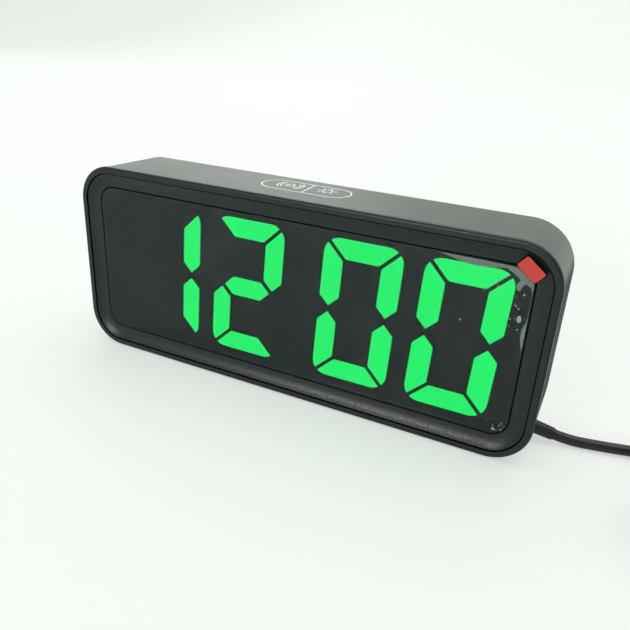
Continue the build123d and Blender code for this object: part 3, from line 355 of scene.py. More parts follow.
class ClockColours(bpy.types.PropertyGroup):
    """Colours of the clock, and the time that it shows."""

    shown_time: StringProperty(
        name="Shown time", description="Hours and minutes on the display", default="1200"
    )
    bezel: FloatVectorProperty(
        name="Bezel", description="Satin black of the bezel",
        subtype="COLOR", default=(0.0015, 0.0062, 0.0042),
    )
    # Lighter than the housing's real black, to paint the sheen that the light gives its top
    housing: FloatVectorProperty(
        name="Housing", description="Matt black of the rear housing",
        subtype="COLOR", default=(0.033, 0.047, 0.034),
    )
    lens: FloatVectorProperty(
        name="Lens", description="Tint of the smoked lens",
        subtype="COLOR", default=(0.002, 0.010, 0.008),
    )
    glow: FloatVectorProperty(
        name="Glow", description="Light of a lit segment",
        subtype="COLOR", default=(0.0, 0.93, 0.13),
    )
    tab: FloatVectorProperty(
        name="Pull tab", description="Red of the tab on the film",
        subtype="COLOR", default=(0.44, 0.024, 0.018),
    )
    # The haze's grey is painted reflection: the light that the film lifted off the lens reflects
    haze: FloatVectorProperty(
        name="Haze", description="Grey of the places where the film has come off the lens",
        subtype="COLOR", default=(0.13, 0.17, 0.15),
    )
    ink: FloatVectorProperty(
        name="Ink", description="White ink of the print on the top",
        subtype="COLOR", default=(0.78, 0.83, 0.77),
    )
    cord: FloatVectorProperty(
        name="Cord", description="Black of the cord's jacket",
        subtype="COLOR", default=(0.003, 0.0036, 0.0032),
    )


class StageLook(bpy.types.PropertyGroup):
    """Floor, room light and camera lens."""

    floor: FloatVectorProperty(
        name="Floor", description="Colour of the floor and the backdrop",
        subtype="COLOR", default=(0.80, 0.83, 0.80),
    )
    room: FloatVectorProperty(
        name="Room", description="Light of the room round the stage",
        subtype="COLOR", default=(0.66, 0.69, 0.66),
    )
    lens: FloatProperty(
        name="Focal length", description="Focal length of the camera in millimetres",
        default=37.32, unit="CAMERA",
    )


class DESKCLOCK_OT_case(bpy.types.Operator):
    """Finishes the bezel, the housing, the battery door, the buttons and the feet"""

    bl_idname = "deskclock.case"
    bl_label = "Case"

    # Where the painted shade on the housing's sides sets in: across the case, and down its corners
    shade_across = (0.0780, 0.0797)
    shade_down = (0.0575, 0.0530)
    # The bezel's outer corner, and how far in from its edge the step and the cove's foot lie; shade
    # is painted in the step and from the cove's foot inwards
    bezel_corner = 0.0125
    step_line, step_half_width = 0.0023, 0.00017
    cove_foot = 0.00682
    # Symbols in millimetres
    ink_thickness = 0.03
    arrow_half_width, arrow_foot, arrow_tip = 1.05, -0.75, 0.95
    ring_radius, ring_line = 1.0, 0.28
    hands, hand_line = (((0, 0.65), (0, -0.1)), ((-0.1, 0), (0.55, 0))), 0.24
    dot_radius, dot_line = 0.2, 0.36
    # A symbol's place: below its button, and in from the housing's back to the recess floor
    below_button = 0.00095
    recess_depth = 0.00119

    def execute(self, context):
        colours = context.scene.clock_colours
        dress(self.bezel(colours.bezel), "front_bezel")
        dress(self.housing(colours.housing), "rear_housing", "battery_door")
        caps = [f"{name}_button" for name in BUTTONS]
        dress(moulded_plastic("button_dark_grey", (0.05, 0.05, 0.05), 0.5), *caps)
        dress(moulded_plastic("foot_rubber", (0.02, 0.02, 0.02), 0.8, 900.0, 0.5), "rubber_feet")
        steel = plated_metal("screw_nickel", (0.62, 0.61, 0.58), 0.34)
        dress(steel, "case_screws", "led_board_screws", "main_board_screws")
        self.button_symbols()
        return {"FINISHED"}

    def housing(self, colour):
        """Matt black lightened with painted sheen for the top, with painted shade making the sides
        below the top corners darker; the sides are rougher too.
        """
        finish = Finish("housing_black_with_painted_sheen_and_shade")
        x, _, z = finish.axes()
        # The mask of the painted shade on the housing's sides below the top corners
        side = finish.grade(abs(x), *self.shade_across) * finish.grade(z, *self.shade_down)
        cloud = finish.cloud()
        base = finish.mix(cloud, shade(colour, 0.85), shade(colour, 1.18))
        return finish.surface(
            # Painted shade: the sides take a darker copy of the housing's colour
            Base_Color=finish.mix(side, base, shade(colour, 0.35)),
            Roughness=finish.spread(cloud, 0.37, 0.44) + side * 0.5,
            Normal=finish.bump(finish.noise(1800.0, 3.0), 0.35, 0.04 * MM),
            Specular_IOR_Level=0.8,
        )

    def bezel(self, colour):
        """Satin black with a coarse mould grain, with painted shade in the step of the rim and at
        the lens's edge.
        """
        finish = Finish("bezel_satin_black_painted_shade")
        inside = finish.inside_edge(*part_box("front_bezel"), self.bezel_corner)
        # Painted shade: a thin line in the step of the rim and the lip from the cove's foot to the
        # lens, near-black, metallic and rougher so they show no gloss
        step = abs(inside - self.step_line) < self.step_half_width
        dark = step + (inside > self.cove_foot)
        grain = finish.noise(1300.0, 3.0)
        satin = finish.mix(finish.cloud(), shade(colour, 0.8), shade(colour, 1.25))
        return finish.surface(
            Base_Color=finish.mix(dark, satin, (0.0, 0.0005, 0.0003)), Metallic=dark,
            Roughness=finish.grade(grain, 0.35, 0.65, 0.30, 0.44) + dark * 0.5,
            Specular_IOR_Level=0.34, Normal=finish.bump(grain, 0.55, 0.06 * MM),
        )

    def button_symbols(self):
        """A plain symbol under each button."""
        ink = Finish("symbol_grey")
        wear = ink.noise(900.0, 3.0)
        material = ink.surface(
            Base_Color=ink.mix(wear, (0.42, 0.44, 0.42), (0.55, 0.57, 0.55)), Roughness=0.55
        )
        turn = Matrix.Rotation(math.pi, 4, "Z") @ Matrix.Rotation(math.radians(90), 4, "X")
        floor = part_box("rear_housing")[1].y - self.recess_depth
        for name in BUTTONS:
            mesh = self.symbol(name)
            low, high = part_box(f"{name}_button")
            place = Vector(((low.x + high.x) / 2, floor, low.z - self.below_button))
            settle(mesh, Matrix.Translation(place) @ turn)
            add_piece(f"{name}_symbol", mesh, material)

    def symbol(self, name):
        """A dial for the mode, a dotted ring for the setting, and arrowheads for up and down."""
        mesh = bmesh.new()
        if name in ("up", "down"):
            way = 1.0 if name == "up" else -1.0
            width, foot = self.arrow_half_width, self.arrow_foot * way
            outline_patch(mesh, [(-width, foot), (width, foot), (0, self.arrow_tip * way)])
        else:
            arc_stroke(mesh, (0, 0), self.ring_radius, 0, 360, self.ring_line)
            if name == "mode":
                for start, end in self.hands:
                    line_stroke(mesh, start, end, self.hand_line)
            else:
                arc_stroke(mesh, (0, 0), self.dot_radius, 0, 360, self.dot_line)
        thicken(mesh, self.ink_thickness)
        return mesh


class DESKCLOCK_OT_display(bpy.types.Operator):
    """Finishes the lens, the segment frame and the segments, lit as the shown time says"""

    bl_idname = "deskclock.display"
    bl_label = "Display"

    # The lens's corner, and where the black border behind its edge gives way to the window
    lens_corner = 0.0053
    border_fade = (0.0006, 0.0022)
    border_alpha, window_clearness = 0.8, 0.25
    segment_width = 0.0064
    unlit = (0.014, 0.017, 0.015)
    brightness = 4.5

    def execute(self, context):
        colours = context.scene.clock_colours
        dress(self.lens(colours.lens), "lens_panel")
        dress(moulded_plastic("frame_black", (0.012, 0.012, 0.012), 0.6), "segment_frame")
        for place, figure in zip(DIGITS, colours.shown_time):
            node = f"{place}_segments"
            dress(self.segments(node, SEGMENTS_OF[figure], colours.glow), node)
        dress(self.segments("colon_dots", "", colours.glow), "colon_dots")
        return {"FINISHED"}

    def lens(self, tint):
        """Smoked and glossy, see-through but for the black border printed behind its edge."""
        finish = Finish("lens_smoked")
        inside = finish.inside_edge(*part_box("lens_panel"), self.lens_corner)
        window = finish.grade(inside, *self.border_fade)
        return finish.surface(
            **finish.smeared(tint, 0.08, 0.13), Specular_IOR_Level=0.30,
            Alpha=self.border_alpha - window * self.window_clearness,
        )

    def segments(self, node, lit_letters, glow):
        """Diffusers of one digit, with the lit ones told apart by their place in the digit."""
        low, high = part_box(node)
        middle = (low + high) / 2
        half_height = (high.z - low.z) / 2
        half_width = (high.x - low.x) / 2 - LEAN * half_height
        finish = Finish(node + "_glow")
        x, _, z = finish.axes()
        up = z - middle.z
        right = x - middle.x - up * LEAN
        side, tall = abs(right), abs(up)
        level = (side - tall) < (half_width - half_height)
        crossbar = (side + tall) < (half_width - self.segment_width / 2)
        upright = (1.0 - level) * (1.0 - crossbar)
        to_right, above = right > 0.0, up > 0.0
        to_left, below = 1.0 - to_right, 1.0 - above
        areas = {
            "a": level * above, "b": upright * to_right * above, "c": upright * to_right * below,
            "d": level * below, "e": upright * to_left * below, "f": upright * to_left * above,
            "g": crossbar,
        }
        unevenness = finish.noise(70.0, 1.0)
        full = (0.0, glow[1] * 1.03, glow[2] * 1.2)
        glowing = finish.mix(unevenness, shade(glow, 0.95), full)
        lit = sum(areas[letter] for letter in lit_letters)
        return finish.surface(
            Base_Color=finish.mix(unevenness, shade(self.unlit, 0.9), shade(self.unlit, 1.1)),
            Roughness=0.5, Emission_Strength=self.brightness,
            Emission_Color=finish.mix(lit, BLACK, glowing) if lit_letters else BLACK,
        )


class DESKCLOCK_OT_film(bpy.types.Operator):
    """Finishes the protective film and its tab, and adds the haze and bubbles under the film, grey
    with painted reflection
    """

    bl_idname = "deskclock.film"
    bl_label = "Film"

    # In metres: the gaps from lens to film and from film to haze, and what counts as one point
    sheet_gap = 0.00002
    haze_gap = 0.00004
    weld_distance = 0.000001
    # The rest in millimetres, about the middle of the lens: X to the right, Y up
    film_thickness = 0.12
    film_corner = Vector((72.5, 25.3))
    bend_radius = 41.71
    bend_angle = math.radians(38.5)
    bend_way = Vector((math.sin(bend_angle), math.cos(bend_angle)))
    bend_reach = 9.6
    bend_origin = film_corner - bend_way * bend_reach
    bend_cuts, cut_pitch = 12, 0.8
    haze_thickness = 0.02
    bubble_height = 0.07
    merge_distance = 0.0001
    # The loose part: along the film's top edge, down its side to the tongue's tip, and back
    loose_outline = [
        (46.8, 25.28), (58.0, 25.3), (67.6, 25.3), (70.4, 23.3), (72.5, 21.6), (72.5, 12.0),
        (72.5, 2.0), (72.04, 3.17), (71.66, 4.56), (71.49, 6.3), (71.49, 7.78), (71.74, 9.31),
        (72.17, 10.58), (72.4, 11.81), (72.44, 13.24), (72.42, 17.28), (72.36, 18.96),
        (72.05, 20.03), (71.45, 20.59), (70.86, 21.02), (70.34, 21.03), (70.02, 20.67),
        (69.61, 20.0), (69.45, 19.39), (69.17, 18.75), (68.5, 18.88), (68.07, 19.92),
        (68.18, 20.8), (68.84, 21.52), (68.75, 22.07), (68.29, 22.53), (67.72, 22.82),
        (67.26, 23.28), (66.42, 23.65), (65.26, 24.37), (64.47, 24.39), (61.92, 23.86),
        (60.11, 23.56), (57.47, 23.42), (54.74, 23.57), (51.94, 24.06), (49.08, 24.77),
    ]
    # Each bubble's centre, half width and half height
    bubble_places = [
        (70.46, 18.06, 0.3, 0.3), (68.53, 17.18, 0.16, 0.16), (68.93, 14.56, 0.26, 0.26),
        (68.51, 15.04, 0.15, 0.15), (69.71, 13.88, 0.26, 0.26), (70.34, 11.0, 0.6, 1.05),
        (70.32, 7.98, 0.26, 0.26), (68.04, 10.59, 0.2, 0.3), (68.1, 8.55, 0.2, 0.25),
        (69.14, 11.14, 0.16, 0.16), (63.52, 18.9, 0.33, 0.33), (60.02, 16.56, 0.15, 0.15),
        (54.95, 7.26, 0.3, 0.3), (66.92, -21.11, 0.2, 0.2), (68.84, -22.69, 0.22, 0.22),
        (68.92, -23.74, 0.5, 0.42), (69.48, -23.96, 0.3, 0.2), (70.47, -22.21, 0.25, 0.25),
        (71.05, -21.41, 0.22, 0.3), (71.2, -23.48, 0.3, 0.2), (71.75, -22.18, 0.2, 0.2),
    ]

    def execute(self, context):
        colours = context.scene.clock_colours
        self.sheet(self.clear_finish())
        self.lifted_patch(self.painted_reflection_finish("film_haze_reflection", colours.haze))
        # The bubbles take twice the haze's grey, as brighter painted reflection
        self.bubbles(self.painted_reflection_finish("film_bubble", shade(colours.haze, 2.0)))
        dress(self.tab_finish(colours.tab), "film_pull_tab")
        return {"FINISHED"}

    def clear_finish(self):
        """Clear film with the faintest smears."""
        finish = Finish("film_clear")
        smear = finish.noise(60.0, 3.0)
        return finish.surface(
            Base_Color=finish.mix(smear, (0.7, 0.74, 0.72), (0.8, 0.83, 0.81)),
            Roughness=0.12, Alpha=finish.grade(smear, 0.5, 0.8, 0.004, 0.012),
        )

    def painted_reflection_finish(self, name, colour):
        """Painted reflection of the air under the film: grey and see-through, brighter in streaks.
        """
        finish = Finish(name)
        streaks = finish.noise(160.0, 3.0, (1.0, 1.0, 2.0))
        return finish.surface(
            Base_Color=finish.mix(streaks, shade(colour, 0.8), shade(colour, 1.25)),
            Roughness=0.3, Alpha=finish.spread(streaks, 0.62, 0.8),
        )

    def tab_finish(self, colour):
        """Red tape, slightly patchy and creased."""
        finish = Finish("tab_red")
        patch = finish.noise(260.0, 3.0)
        return finish.surface(
            Base_Color=finish.mix(patch, shade(colour, 0.88), shade(colour, 1.12)),
            Roughness=0.38, Normal=finish.bump(finish.noise(700.0), 0.15, 0.03 * MM),
        )

    def sheet(self, material):
        """The film itself, a hair off the lens so that their faces don't coincide."""
        mesh = bmesh.new()
        mesh.from_mesh(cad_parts["protective_film"].data)
        bmesh.ops.remove_doubles(mesh, verts=mesh.verts, dist=self.weld_distance)
        bmesh.ops.translate(mesh, verts=mesh.verts, vec=(0, -self.sheet_gap, 0))
        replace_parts(add_piece("film_sheet", mesh, material), "protective_film")

    def lift(self, x, z):
        """How far the film's corner has curled off the lens at a point of it."""
        reach = max(0.0, (Vector((x, z)) - self.bend_origin).dot(self.bend_way))
        return self.bend_radius - math.sqrt(self.bend_radius**2 - reach**2)

    def lifted_patch(self, material):
        """The loose part of the film round its tab, from the top edge to a tongue down the side, a
        sheet grey with painted reflection.
        """
        mesh = bmesh.new()
        outline_patch(mesh, self.loose_outline)
        for cut in range(self.bend_cuts):
            bmesh.ops.bisect_plane(
                mesh, geom=[*mesh.verts, *mesh.edges, *mesh.faces], dist=self.merge_distance,
                plane_co=(self.bend_origin + self.bend_way * self.cut_pitch * cut).to_3d(),
                plane_no=self.bend_way.to_3d(),
            )
        thicken(mesh, self.haze_thickness)
        for vert in mesh.verts:
            vert.co.z += self.lift(*vert.co.xy)
        add_piece("film_haze_reflection", self.on_film(mesh), material)

    def bubbles(self, material):
        """Flat domes of air under the film, near the loose corner and at the lower one, brighter
        with painted reflection.
        """
        mesh = bmesh.new()
        for x, z, half_width, half_height in self.bubble_places:
            made = bmesh.ops.create_uvsphere(mesh, u_segments=16, v_segments=6, radius=1.0)["verts"]
            shape = Matrix.Diagonal((half_width, half_height, self.bubble_height, 1.0))
            place = Matrix.Translation((x, z, self.lift(x, z)))
            bmesh.ops.transform(mesh, matrix=place @ shape, verts=made)
        bmesh.ops.bisect_plane(
            mesh, geom=[*mesh.verts, *mesh.edges, *mesh.faces], dist=self.merge_distance,
            plane_co=(0, 0, 0), plane_no=(0, 0, -1), clear_outer=True,
        )
        add_piece("film_bubbles", self.on_film(mesh), material)

    def on_film(self, mesh):
        """Lays a mesh drawn on the film's face, about the middle of the lens, on the film."""
        low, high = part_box("lens_panel")
        middle = (low + high) / 2
        turn = Matrix.Rotation(math.radians(90), 4, "X")
        front = low.y - self.film_thickness * MM - self.haze_gap
        settle(mesh, Matrix.Translation((middle.x, front, middle.z)) @ turn)
        return mesh


class DESKCLOCK_OT_top_print(bpy.types.Operator):
    """Prints the white oval and its two symbols on the top of the housing"""

    bl_idname = "deskclock.top_print"
    bl_label = "Top print"

    # All in millimetres. The print's centre seen from above, and how far the top falls to the back
    centre = (-1.8, 2.2)
    draft = 0.1
    ink_thickness = 0.02
    ink_gap = 0.01
    merge_distance = 0.001
    # Where the divider meets the oval's lower and upper lines
    divider_foot, divider_head = 1.2, 0.5
    bell_centre = Vector((-5.75, 0.7))
    dome_radius, dome_height = 1.1, 0.5
    bell_strokes = (
        ((-1.1, 0.5), (-1.1, -0.8)), ((1.1, 0.5), (1.1, -0.8)), ((-1.9, -0.9), (1.9, -0.9)),
    )
    sound_radii, sound_sweep = (3.2, 4.3), 96
    lamp_centre = Vector((7.1, 1.1))
    lamp_radius, ray_start, ray_end = 1.6, 2.3, 3.4
    rays = 8

    def execute(self, context):
        sizes = context.scene.clock_sizes
        white = context.scene.clock_colours.ink
        ink = Finish("ink_white")
        wear = ink.noise(900.0, 3.0)
        material = ink.surface(
            Base_Color=ink.mix(wear, shade(white, 0.85), white), Roughness=0.5,
            Normal=ink.bump(wear, 0.1, 0.01 * MM),
        )
        line = sizes.print_line / MM
        marks = {
            "top_print_oval": self.oval(sizes, line),
            "top_print_sound": self.sound_symbol(line),
            "top_print_lamp": self.lamp_symbol(line),
        }
        for name, mesh in marks.items():
            add_piece(name, self.place(mesh), material)
        return {"FINISHED"}

    def place(self, mesh):
        """Lays a drawn print on the sloping top, above the touch plate."""
        thicken(mesh, self.ink_thickness)
        low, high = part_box("rear_housing")
        fall = self.draft * MM / (high.y - low.y)
        x, y = self.centre
        top = high.z / MM - fall * (y * MM - low.y) / MM + self.ink_gap
        tilt = Matrix.Rotation(-math.atan(fall), 4, "X")
        settle(mesh, Matrix.Translation(Vector((x, y, top)) * MM) @ tilt)
        return mesh

    def oval(self, sizes, line):
        """The oval outline with its slanting divider."""
        mesh = bmesh.new()
        radius = sizes.print_height / MM / 2 - line / 2
        reach = sizes.print_width / MM / 2 - line / 2 - radius
        arc_stroke(mesh, (reach, 0), radius, -90, 180, line)
        arc_stroke(mesh, (-reach, 0), radius, 90, 180, line)
        line_stroke(mesh, (-reach, radius), (reach, radius), line)
        line_stroke(mesh, (-reach, -radius), (reach, -radius), line)
        line_stroke(mesh, (self.divider_foot, -radius), (self.divider_head, radius), line)
        bmesh.ops.remove_doubles(mesh, verts=mesh.verts, dist=self.merge_distance)
        return mesh

    def sound_symbol(self, line):
        """A small bell between two pairs of sound arcs."""
        mesh = bmesh.new()
        centre, sweep = self.bell_centre, self.sound_sweep
        for radius in self.sound_radii:
            arc_stroke(mesh, centre, radius, -sweep / 2, sweep, line)
            arc_stroke(mesh, centre, radius, 180 - sweep / 2, sweep, line)
        arc_stroke(mesh, centre + Vector((0, self.dome_height)), self.dome_radius, 0, 180, line)
        for start, end in self.bell_strokes:
            line_stroke(mesh, centre + Vector(start), centre + Vector(end), line)
        return mesh

    def lamp_symbol(self, line):
        """A round lamp with short rays."""
        mesh = bmesh.new()
        centre = self.lamp_centre
        arc_stroke(mesh, centre, self.lamp_radius, 0, 360, line)
        for ray in range(self.rays):
            angle = ray * 2 * math.pi / self.rays
            way = Vector((math.cos(angle), math.sin(angle)))
            line_stroke(mesh, centre + way * self.ray_start, centre + way * self.ray_end, line)
        return mesh


class DESKCLOCK_OT_cord(bpy.types.Operator):
    """Lays the cord from the case through its coil to the plug, and finishes what is on it"""

    bl_idname = "deskclock.cord"
    bl_label = "Cord"

    # The cord's points in millimetres, out of the case and along the floor to the coil
    run = [
        (84.5, 5.0, 2.75), (88.94, 5.61, 1.70), (97.6, 7.25, 1.68), (107.4, 9.55, 1.75),
        (117.0, 11.6, 2.0), (126.6, 12.6, 2.2), (136.7, 12.6, 2.2),
    ]
    coil_centre = Vector((140.0, -9.2))
    coil_radius = 21.8
    coil_floor = 2.2
    pitch = 3.8
    layers, turns_a_layer, steps_a_turn = 4, 2, 16
    # From the top of the coil round to the plug, which lies on it
    tail = [
        (143.3, 12.6, 13.6), (157.6, 12.6, 13.6), (167.7, 2.5, 15.6),
        (167.7, -11.8, 17.9), (157.6, -21.9, 19.5), (143.3, -21.9, 19.5),
    ]
    # The plug's contacts in millimetres: each one's place across the tongue and its length
    contacts = ((-3.5, 7.4), (-1.0, 6.4), (1.0, 6.4), (3.5, 7.4))
    contact_inset, contact_width, contact_thickness = 0.9, 1.0, 0.06
    contact_gap = 0.05

    def execute(self, context):
        sizes = context.scene.clock_sizes
        route = self.route()
        cord = self.cord(route, sizes.cord_diameter, context.scene.clock_colours.cord)
        sleeve = moulded_plastic(
            "sleeve_matt_black", (0.003, 0.004, 0.003), 0.36, 1500.0, level=0.35
        )
        dress(sleeve, "cord_strain_relief", "cord_tie")
        body = moulded_plastic("plug_black", (0.012, 0.012, 0.013), 0.45, 1600.0)
        dress(body, "usb_plug_body")
        shell = plated_metal("plug_shell_nickel", (0.66, 0.65, 0.62), 0.25, (9.0, 1.0, 9.0))
        dress(shell, "usb_plug_shell")
        dress(polished_plastic("plug_tongue_white", (0.8, 0.8, 0.77), 0.4), "usb_plug_tongue")
        self.plug_contacts()
        return {"FINISHED"}

    def cord(self, route, diameter, colour):
        """The cord as one smooth line with these control points."""
        curve = bpy.data.curves.new("usb_power_cord", "CURVE")
        curve.dimensions = "3D"
        curve.bevel_depth = diameter / 2
        curve.bevel_resolution = 4
        curve.use_fill_caps = True
        spline = curve.splines.new("NURBS")
        spline.points.add(len(route) - 1)
        for point, place in zip(spline.points, route):
            point.co = (*(Vector(place) * MM), 1.0)
        spline.order_u = 3
        spline.use_endpoint_u = True
        spline.resolution_u = 6
        cord = bpy.data.objects.new("usb_power_cord", curve)
        bpy.context.scene.collection.objects.link(cord)
        curve.materials.append(self.jacket_finish(colour))
        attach(cord, "case")
        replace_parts(cord, "power_cord", "cord_coil", "cord_tail")
        return cord

    def jacket_finish(self, colour):
        """Soft black jacket with a slow unevenness in its gloss."""
        finish = Finish("cord_jacket")
        cloud = finish.noise(130.0, 2.0)
        return finish.surface(
            Base_Color=finish.mix(cloud, shade(colour, 0.8), shade(colour, 1.3)),
            Roughness=finish.spread(cloud, 0.20, 0.30), Specular_IOR_Level=0.38,
            Normal=finish.bump(finish.noise(500.0, 2.0), 0.08, 0.05 * MM),
        )

    def plug_contacts(self):
        """Four gold strips on the tongue of the plug."""
        low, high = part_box("usb_plug_tongue")
        mesh = bmesh.new()
        for place, length in self.contacts:
            y = (low.y + high.y) / 2 / MM + place
            x = low.x / MM + self.contact_inset
            line_stroke(mesh, (x, y), (x + length, y), self.contact_width)
        thicken(mesh, self.contact_thickness)
        settle(mesh, Matrix.Translation((0, 0, low.z - self.contact_gap * MM)))
        gold = plated_metal("contact_gold", (0.85, 0.62, 0.24), 0.28)
        return add_piece("usb_plug_contacts", mesh, gold)

    def route(self):
        """The cord's points: out of the case, round the coil, and on to the plug."""
        coil = []
        for step in range(self.layers * self.turns_a_layer * self.steps_a_turn + 1):
            turn = step / self.steps_a_turn
            angle = math.pi / 2 - 2 * math.pi * turn
            # The turns of a layer go inwards, and those of the next one outwards again
            inwards = self.turns_a_layer - abs(turn % (2 * self.turns_a_layer) - self.turns_a_layer)
            radius = self.coil_radius - self.pitch * inwards
            # Half a turn takes the cord up to the next layer, with a smooth start and end
            height = self.coil_floor
            for layer in range(1, self.layers):
                climb = min(max((turn - self.turns_a_layer * layer) * 2 + 0.5, 0), 1)
                height += self.pitch * climb**2 * (3 - 2 * climb)
            coil.append((
                self.coil_centre.x + radius * math.cos(angle),
                self.coil_centre.y + radius * math.sin(angle), height,
            ))
        return self.run + coil + self.tail


class DESKCLOCK_OT_electronics(bpy.types.Operator):
    """Finishes the boards, their components, the wires, the cells and their contacts"""

    bl_idname = "deskclock.electronics"
    bl_label = "Electronics"

    # In metres: half a cell's height, and where a cell's nub and band end along it
    cell_half_height = 0.0055
    nub_length = 0.00125
    band_end = 0.010

    def execute(self, context):
        dress(board_laminate("laminate_green", (0.012, 0.10, 0.035)), "led_board", "main_board")
        black = moulded_plastic("component_black", (0.02, 0.02, 0.022), 0.5, 1800.0)
        plungers = [f"{name}_switch_plunger" for name in BUTTONS]
        dress(black, "control_chip", "buzzer", "switch_bodies", "board_header", *plungers)
        dress(polished_plastic("capacitor_sleeve", (0.02, 0.03, 0.08), 0.3), "board_capacitors")
        dress(polished_plastic("led_package", (0.82, 0.82, 0.76), 0.3), "led_chips")
        dress(polished_plastic("terminal_white", (0.8, 0.8, 0.76), 0.4), "power_terminal")
        dress(polished_plastic("sensor_epoxy", (0.05, 0.04, 0.03), 0.25), "temperature_sensor")
        dress(polished_plastic("wire_red", (0.5, 0.03, 0.02), 0.35), "power_wires", "touch_wire")
        dress(polished_plastic("wire_black", (0.02, 0.02, 0.02), 0.35), "battery_wires")
        nickel = plated_metal("contact_nickel", (0.68, 0.66, 0.6), 0.3)
        dress(nickel, "battery_plates", "battery_springs", "clock_crystal", "microphone")
        dress(plated_metal("touch_copper", (0.72, 0.38, 0.22), 0.3), "touch_plate")
        dress(self.cell_jacket(), "backup_cells")
        return {"FINISHED"}

    def cell_jacket(self):
        """Printed steel jacket with a copper-coloured band by each nub."""
        finish = Finish("cell_jacket")
        low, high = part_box("backup_cells")
        x, _, z = finish.axes()
        middle_row = abs(z - (low.z + high.z) / 2) < self.cell_half_height
        # The middle cell lies the other way round
        from_right = x * -1.0 + high.x
        from_left = x - low.x
        along = from_right + (from_left - from_right) * middle_row
        coloured = finish.mix(along < self.band_end, (0.02, 0.022, 0.026), (0.55, 0.24, 0.08))
        return finish.surface(
            Base_Color=finish.mix(along < self.nub_length, coloured, (0.7, 0.69, 0.66)),
            Metallic=0.6, Roughness=finish.spread(finish.noise(300.0, 3.0), 0.26, 0.38),
        )


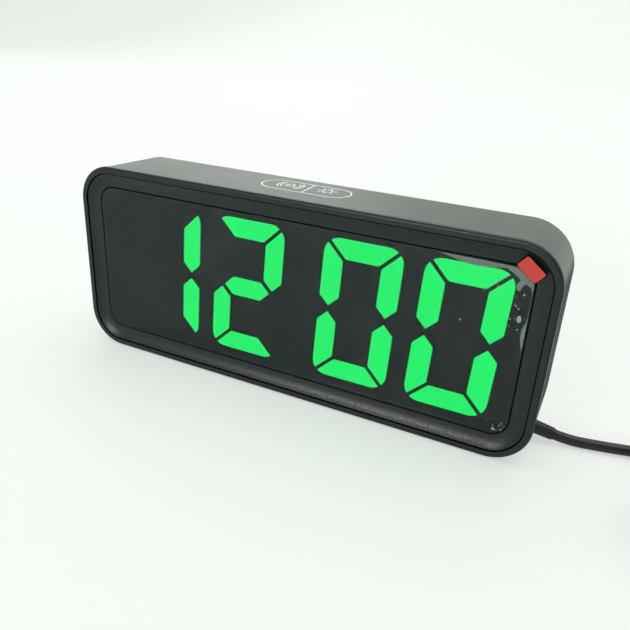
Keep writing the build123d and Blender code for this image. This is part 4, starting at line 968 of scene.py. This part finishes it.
class DESKCLOCK_OT_stage(bpy.types.Operator):
    """Sets the floor with its backdrop, the lamps and the camera"""

    bl_idname = "deskclock.stage"
    bl_label = "Stage"

    # The floor in metres: half its width, its front edge, and the curve up to the backdrop
    half_width = 4.0
    front = -3.0
    curve_start, curve_radius = 1.2, 1.0
    wall_height = 2.0
    # How uneven its colour is, and the share of it and the light of its own that are seen
    unevenness = 0.015
    seen_share = 0.42
    own_light = 0.62
    # Each lamp's place, the point that it looks at, its width and height, and its watts
    lamps = {
        "top_lamp": ((0.2, 0.5, 2.2), (0.0, 0.0, 0.0), (2.4, 2.4), 32.0),
        "window_lamp": ((-0.38, -1.60, 0.44), (0.0, 0.0, 0.03), (0.7, 0.35), 13.0),
        "back_lamp": ((-1.10, 1.35, 0.80), (0.0, 0.0, 0.06), (1.3, 0.8), 3.6),
    }
    # The camera's place and its right and upward directions
    camera_place = (0.0892, -0.17891, 0.11291)
    camera_right = Vector((0.89338, 0.44643, 0.05062))
    camera_up = Vector((-0.22356, 0.34396, 0.91198))

    def execute(self, context):
        look = context.scene.stage_look
        self.floor(self.floor_finish(look.floor))
        for name, lamp in self.lamps.items():
            self.lamp(name, *lamp)
        world = context.scene.world or bpy.data.worlds.new("room")
        context.scene.world = world
        world.use_nodes = True
        room = world.node_tree.nodes["Background"].inputs
        room["Color"].default_value = (*look.room, 1.0)
        room["Strength"].default_value = 1.0
        self.camera(look.lens)
        context.scene.view_settings.view_transform = "Standard"
        # The lens and the film are clear and glossy, where the denoiser's guides leave a grain
        context.scene.cycles.denoising_input_passes = "RGB"
        return {"FINISHED"}

    def floor_finish(self, colour):
        """Pale and matt, and lit from within for the camera and in reflections."""
        finish = Finish("floor_pale")
        cloud = finish.noise(2.5, 2.0)
        dark, light = 1.0 - self.unevenness, 1.0 + self.unevenness
        plain = finish.mix(cloud, shade(colour, dark), shade(colour, light))
        share = self.seen_share
        seen = finish.mix(cloud, shade(colour, share * dark), shade(colour, share * light))
        grain = finish.bump(finish.noise(180.0, 3.0), 0.05, 0.5 * MM)
        camera, glossy, through = (
            finish.node("ShaderNodeLightPath", output=kind)
            for kind in ("Is Camera Ray", "Is Glossy Ray", "Is Transmission Ray")
        )
        ways = camera + glossy + through
        lighting = finish.shader(Base_Color=plain, Roughness=0.6, Normal=grain)
        showing = finish.shader(
            Base_Color=seen, Roughness=0.6, Normal=grain, Specular_IOR_Level=0.2,
            Emission_Color=plain, Emission_Strength=self.own_light,
        )
        directly = ways.math("MINIMUM", ways, 1.0)
        return finish.close(
            finish.node("ShaderNodeMixShader", None, {0: directly, 1: lighting, 2: showing})
        )

    def floor(self, material):
        """A floor that curves up into the backdrop behind the clock."""
        mesh = bmesh.new()
        ends = [(side * self.half_width, self.front, 0.0) for side in (-1, 1)]
        edge = mesh.edges.new([mesh.verts.new(end) for end in ends])
        edge = pull_edge(mesh, edge, (0, self.curve_start - self.front, 0))
        made = bmesh.ops.spin(
            mesh, geom=[edge, *edge.verts], cent=(0, self.curve_start, self.curve_radius),
            axis=(1, 0, 0), angle=math.radians(90), steps=24, use_merge=False,
        )["geom_last"]
        edge = next(item for item in made if isinstance(item, bmesh.types.BMEdge))
        pull_edge(mesh, edge, (0, 0, self.wall_height))
        bmesh.ops.recalc_face_normals(mesh, faces=mesh.faces)
        for face in mesh.faces:
            face.smooth = True
        data = bpy.data.meshes.new("floor")
        mesh.to_mesh(data)
        mesh.free()
        data.materials.append(material)
        floor = bpy.data.objects.new("floor", data)
        bpy.context.scene.collection.objects.link(floor)

    def lamp(self, name, place, target, size, power):
        """A soft oblong lamp that looks at a point."""
        data = bpy.data.lights.new(name, "AREA")
        data.shape = "RECTANGLE"
        data.size, data.size_y = size
        data.energy = power
        lamp = bpy.data.objects.new(name, data)
        lamp.location = place
        look = Vector(target) - Vector(place)
        lamp.rotation_euler = look.to_track_quat("-Z", "Y").to_euler()
        bpy.context.scene.collection.objects.link(lamp)

    def camera(self, focal_length):
        """The camera that the clock is seen with."""
        data = bpy.data.cameras.new("camera")
        data.lens = focal_length
        data.sensor_width = 36.0
        data.clip_start = 0.01
        camera = bpy.data.objects.new("camera", data)
        right, up = self.camera_right, self.camera_up
        turn = Matrix((right, up, right.cross(up))).transposed()
        camera.matrix_world = Matrix.Translation(self.camera_place) @ turn.to_4x4()
        bpy.context.scene.collection.objects.link(camera)
        bpy.context.scene.camera = camera


class DESKCLOCK_PT_panel(bpy.types.Panel):
    """The clock's controls in the sidebar"""

    bl_label = "Desk Clock"
    bl_idname = "DESKCLOCK_PT_panel"
    bl_space_type = "VIEW_3D"
    bl_region_type = "UI"
    bl_category = "Desk Clock"

    def draw(self, context):
        for name, group in GROUPS.items():
            values = getattr(context.scene, name)
            box = self.layout.box()
            for control in group.__annotations__:
                box.prop(values, control)
        for operator in OPERATORS:
            self.layout.operator(operator.bl_idname)


OPERATORS = (
    DESKCLOCK_OT_case, DESKCLOCK_OT_display, DESKCLOCK_OT_film, DESKCLOCK_OT_top_print,
    DESKCLOCK_OT_cord, DESKCLOCK_OT_electronics, DESKCLOCK_OT_stage,
)
GROUPS = {"clock_sizes": ClockSizes, "clock_colours": ClockColours, "stage_look": StageLook}


def register():
    """Registers the controls, the operators and the panel."""
    for name, group in GROUPS.items():
        bpy.utils.register_class(group)
        setattr(bpy.types.Scene, name, PointerProperty(type=group))
    for item in (*OPERATORS, DESKCLOCK_PT_panel):
        bpy.utils.register_class(item)


def unregister():
    """Takes back what register did, in reverse order."""
    for item in (DESKCLOCK_PT_panel, *reversed(OPERATORS)):
        bpy.utils.unregister_class(item)
    for name, group in reversed(GROUPS.items()):
        delattr(bpy.types.Scene, name)
        bpy.utils.unregister_class(group)


def main():
    """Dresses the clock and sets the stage."""
    register()
    bpy.ops.deskclock.case()
    bpy.ops.deskclock.display()
    bpy.ops.deskclock.film()
    bpy.ops.deskclock.top_print()
    bpy.ops.deskclock.cord()
    bpy.ops.deskclock.electronics()
    bpy.ops.deskclock.stage()


if __name__ == "__main__":
    main()
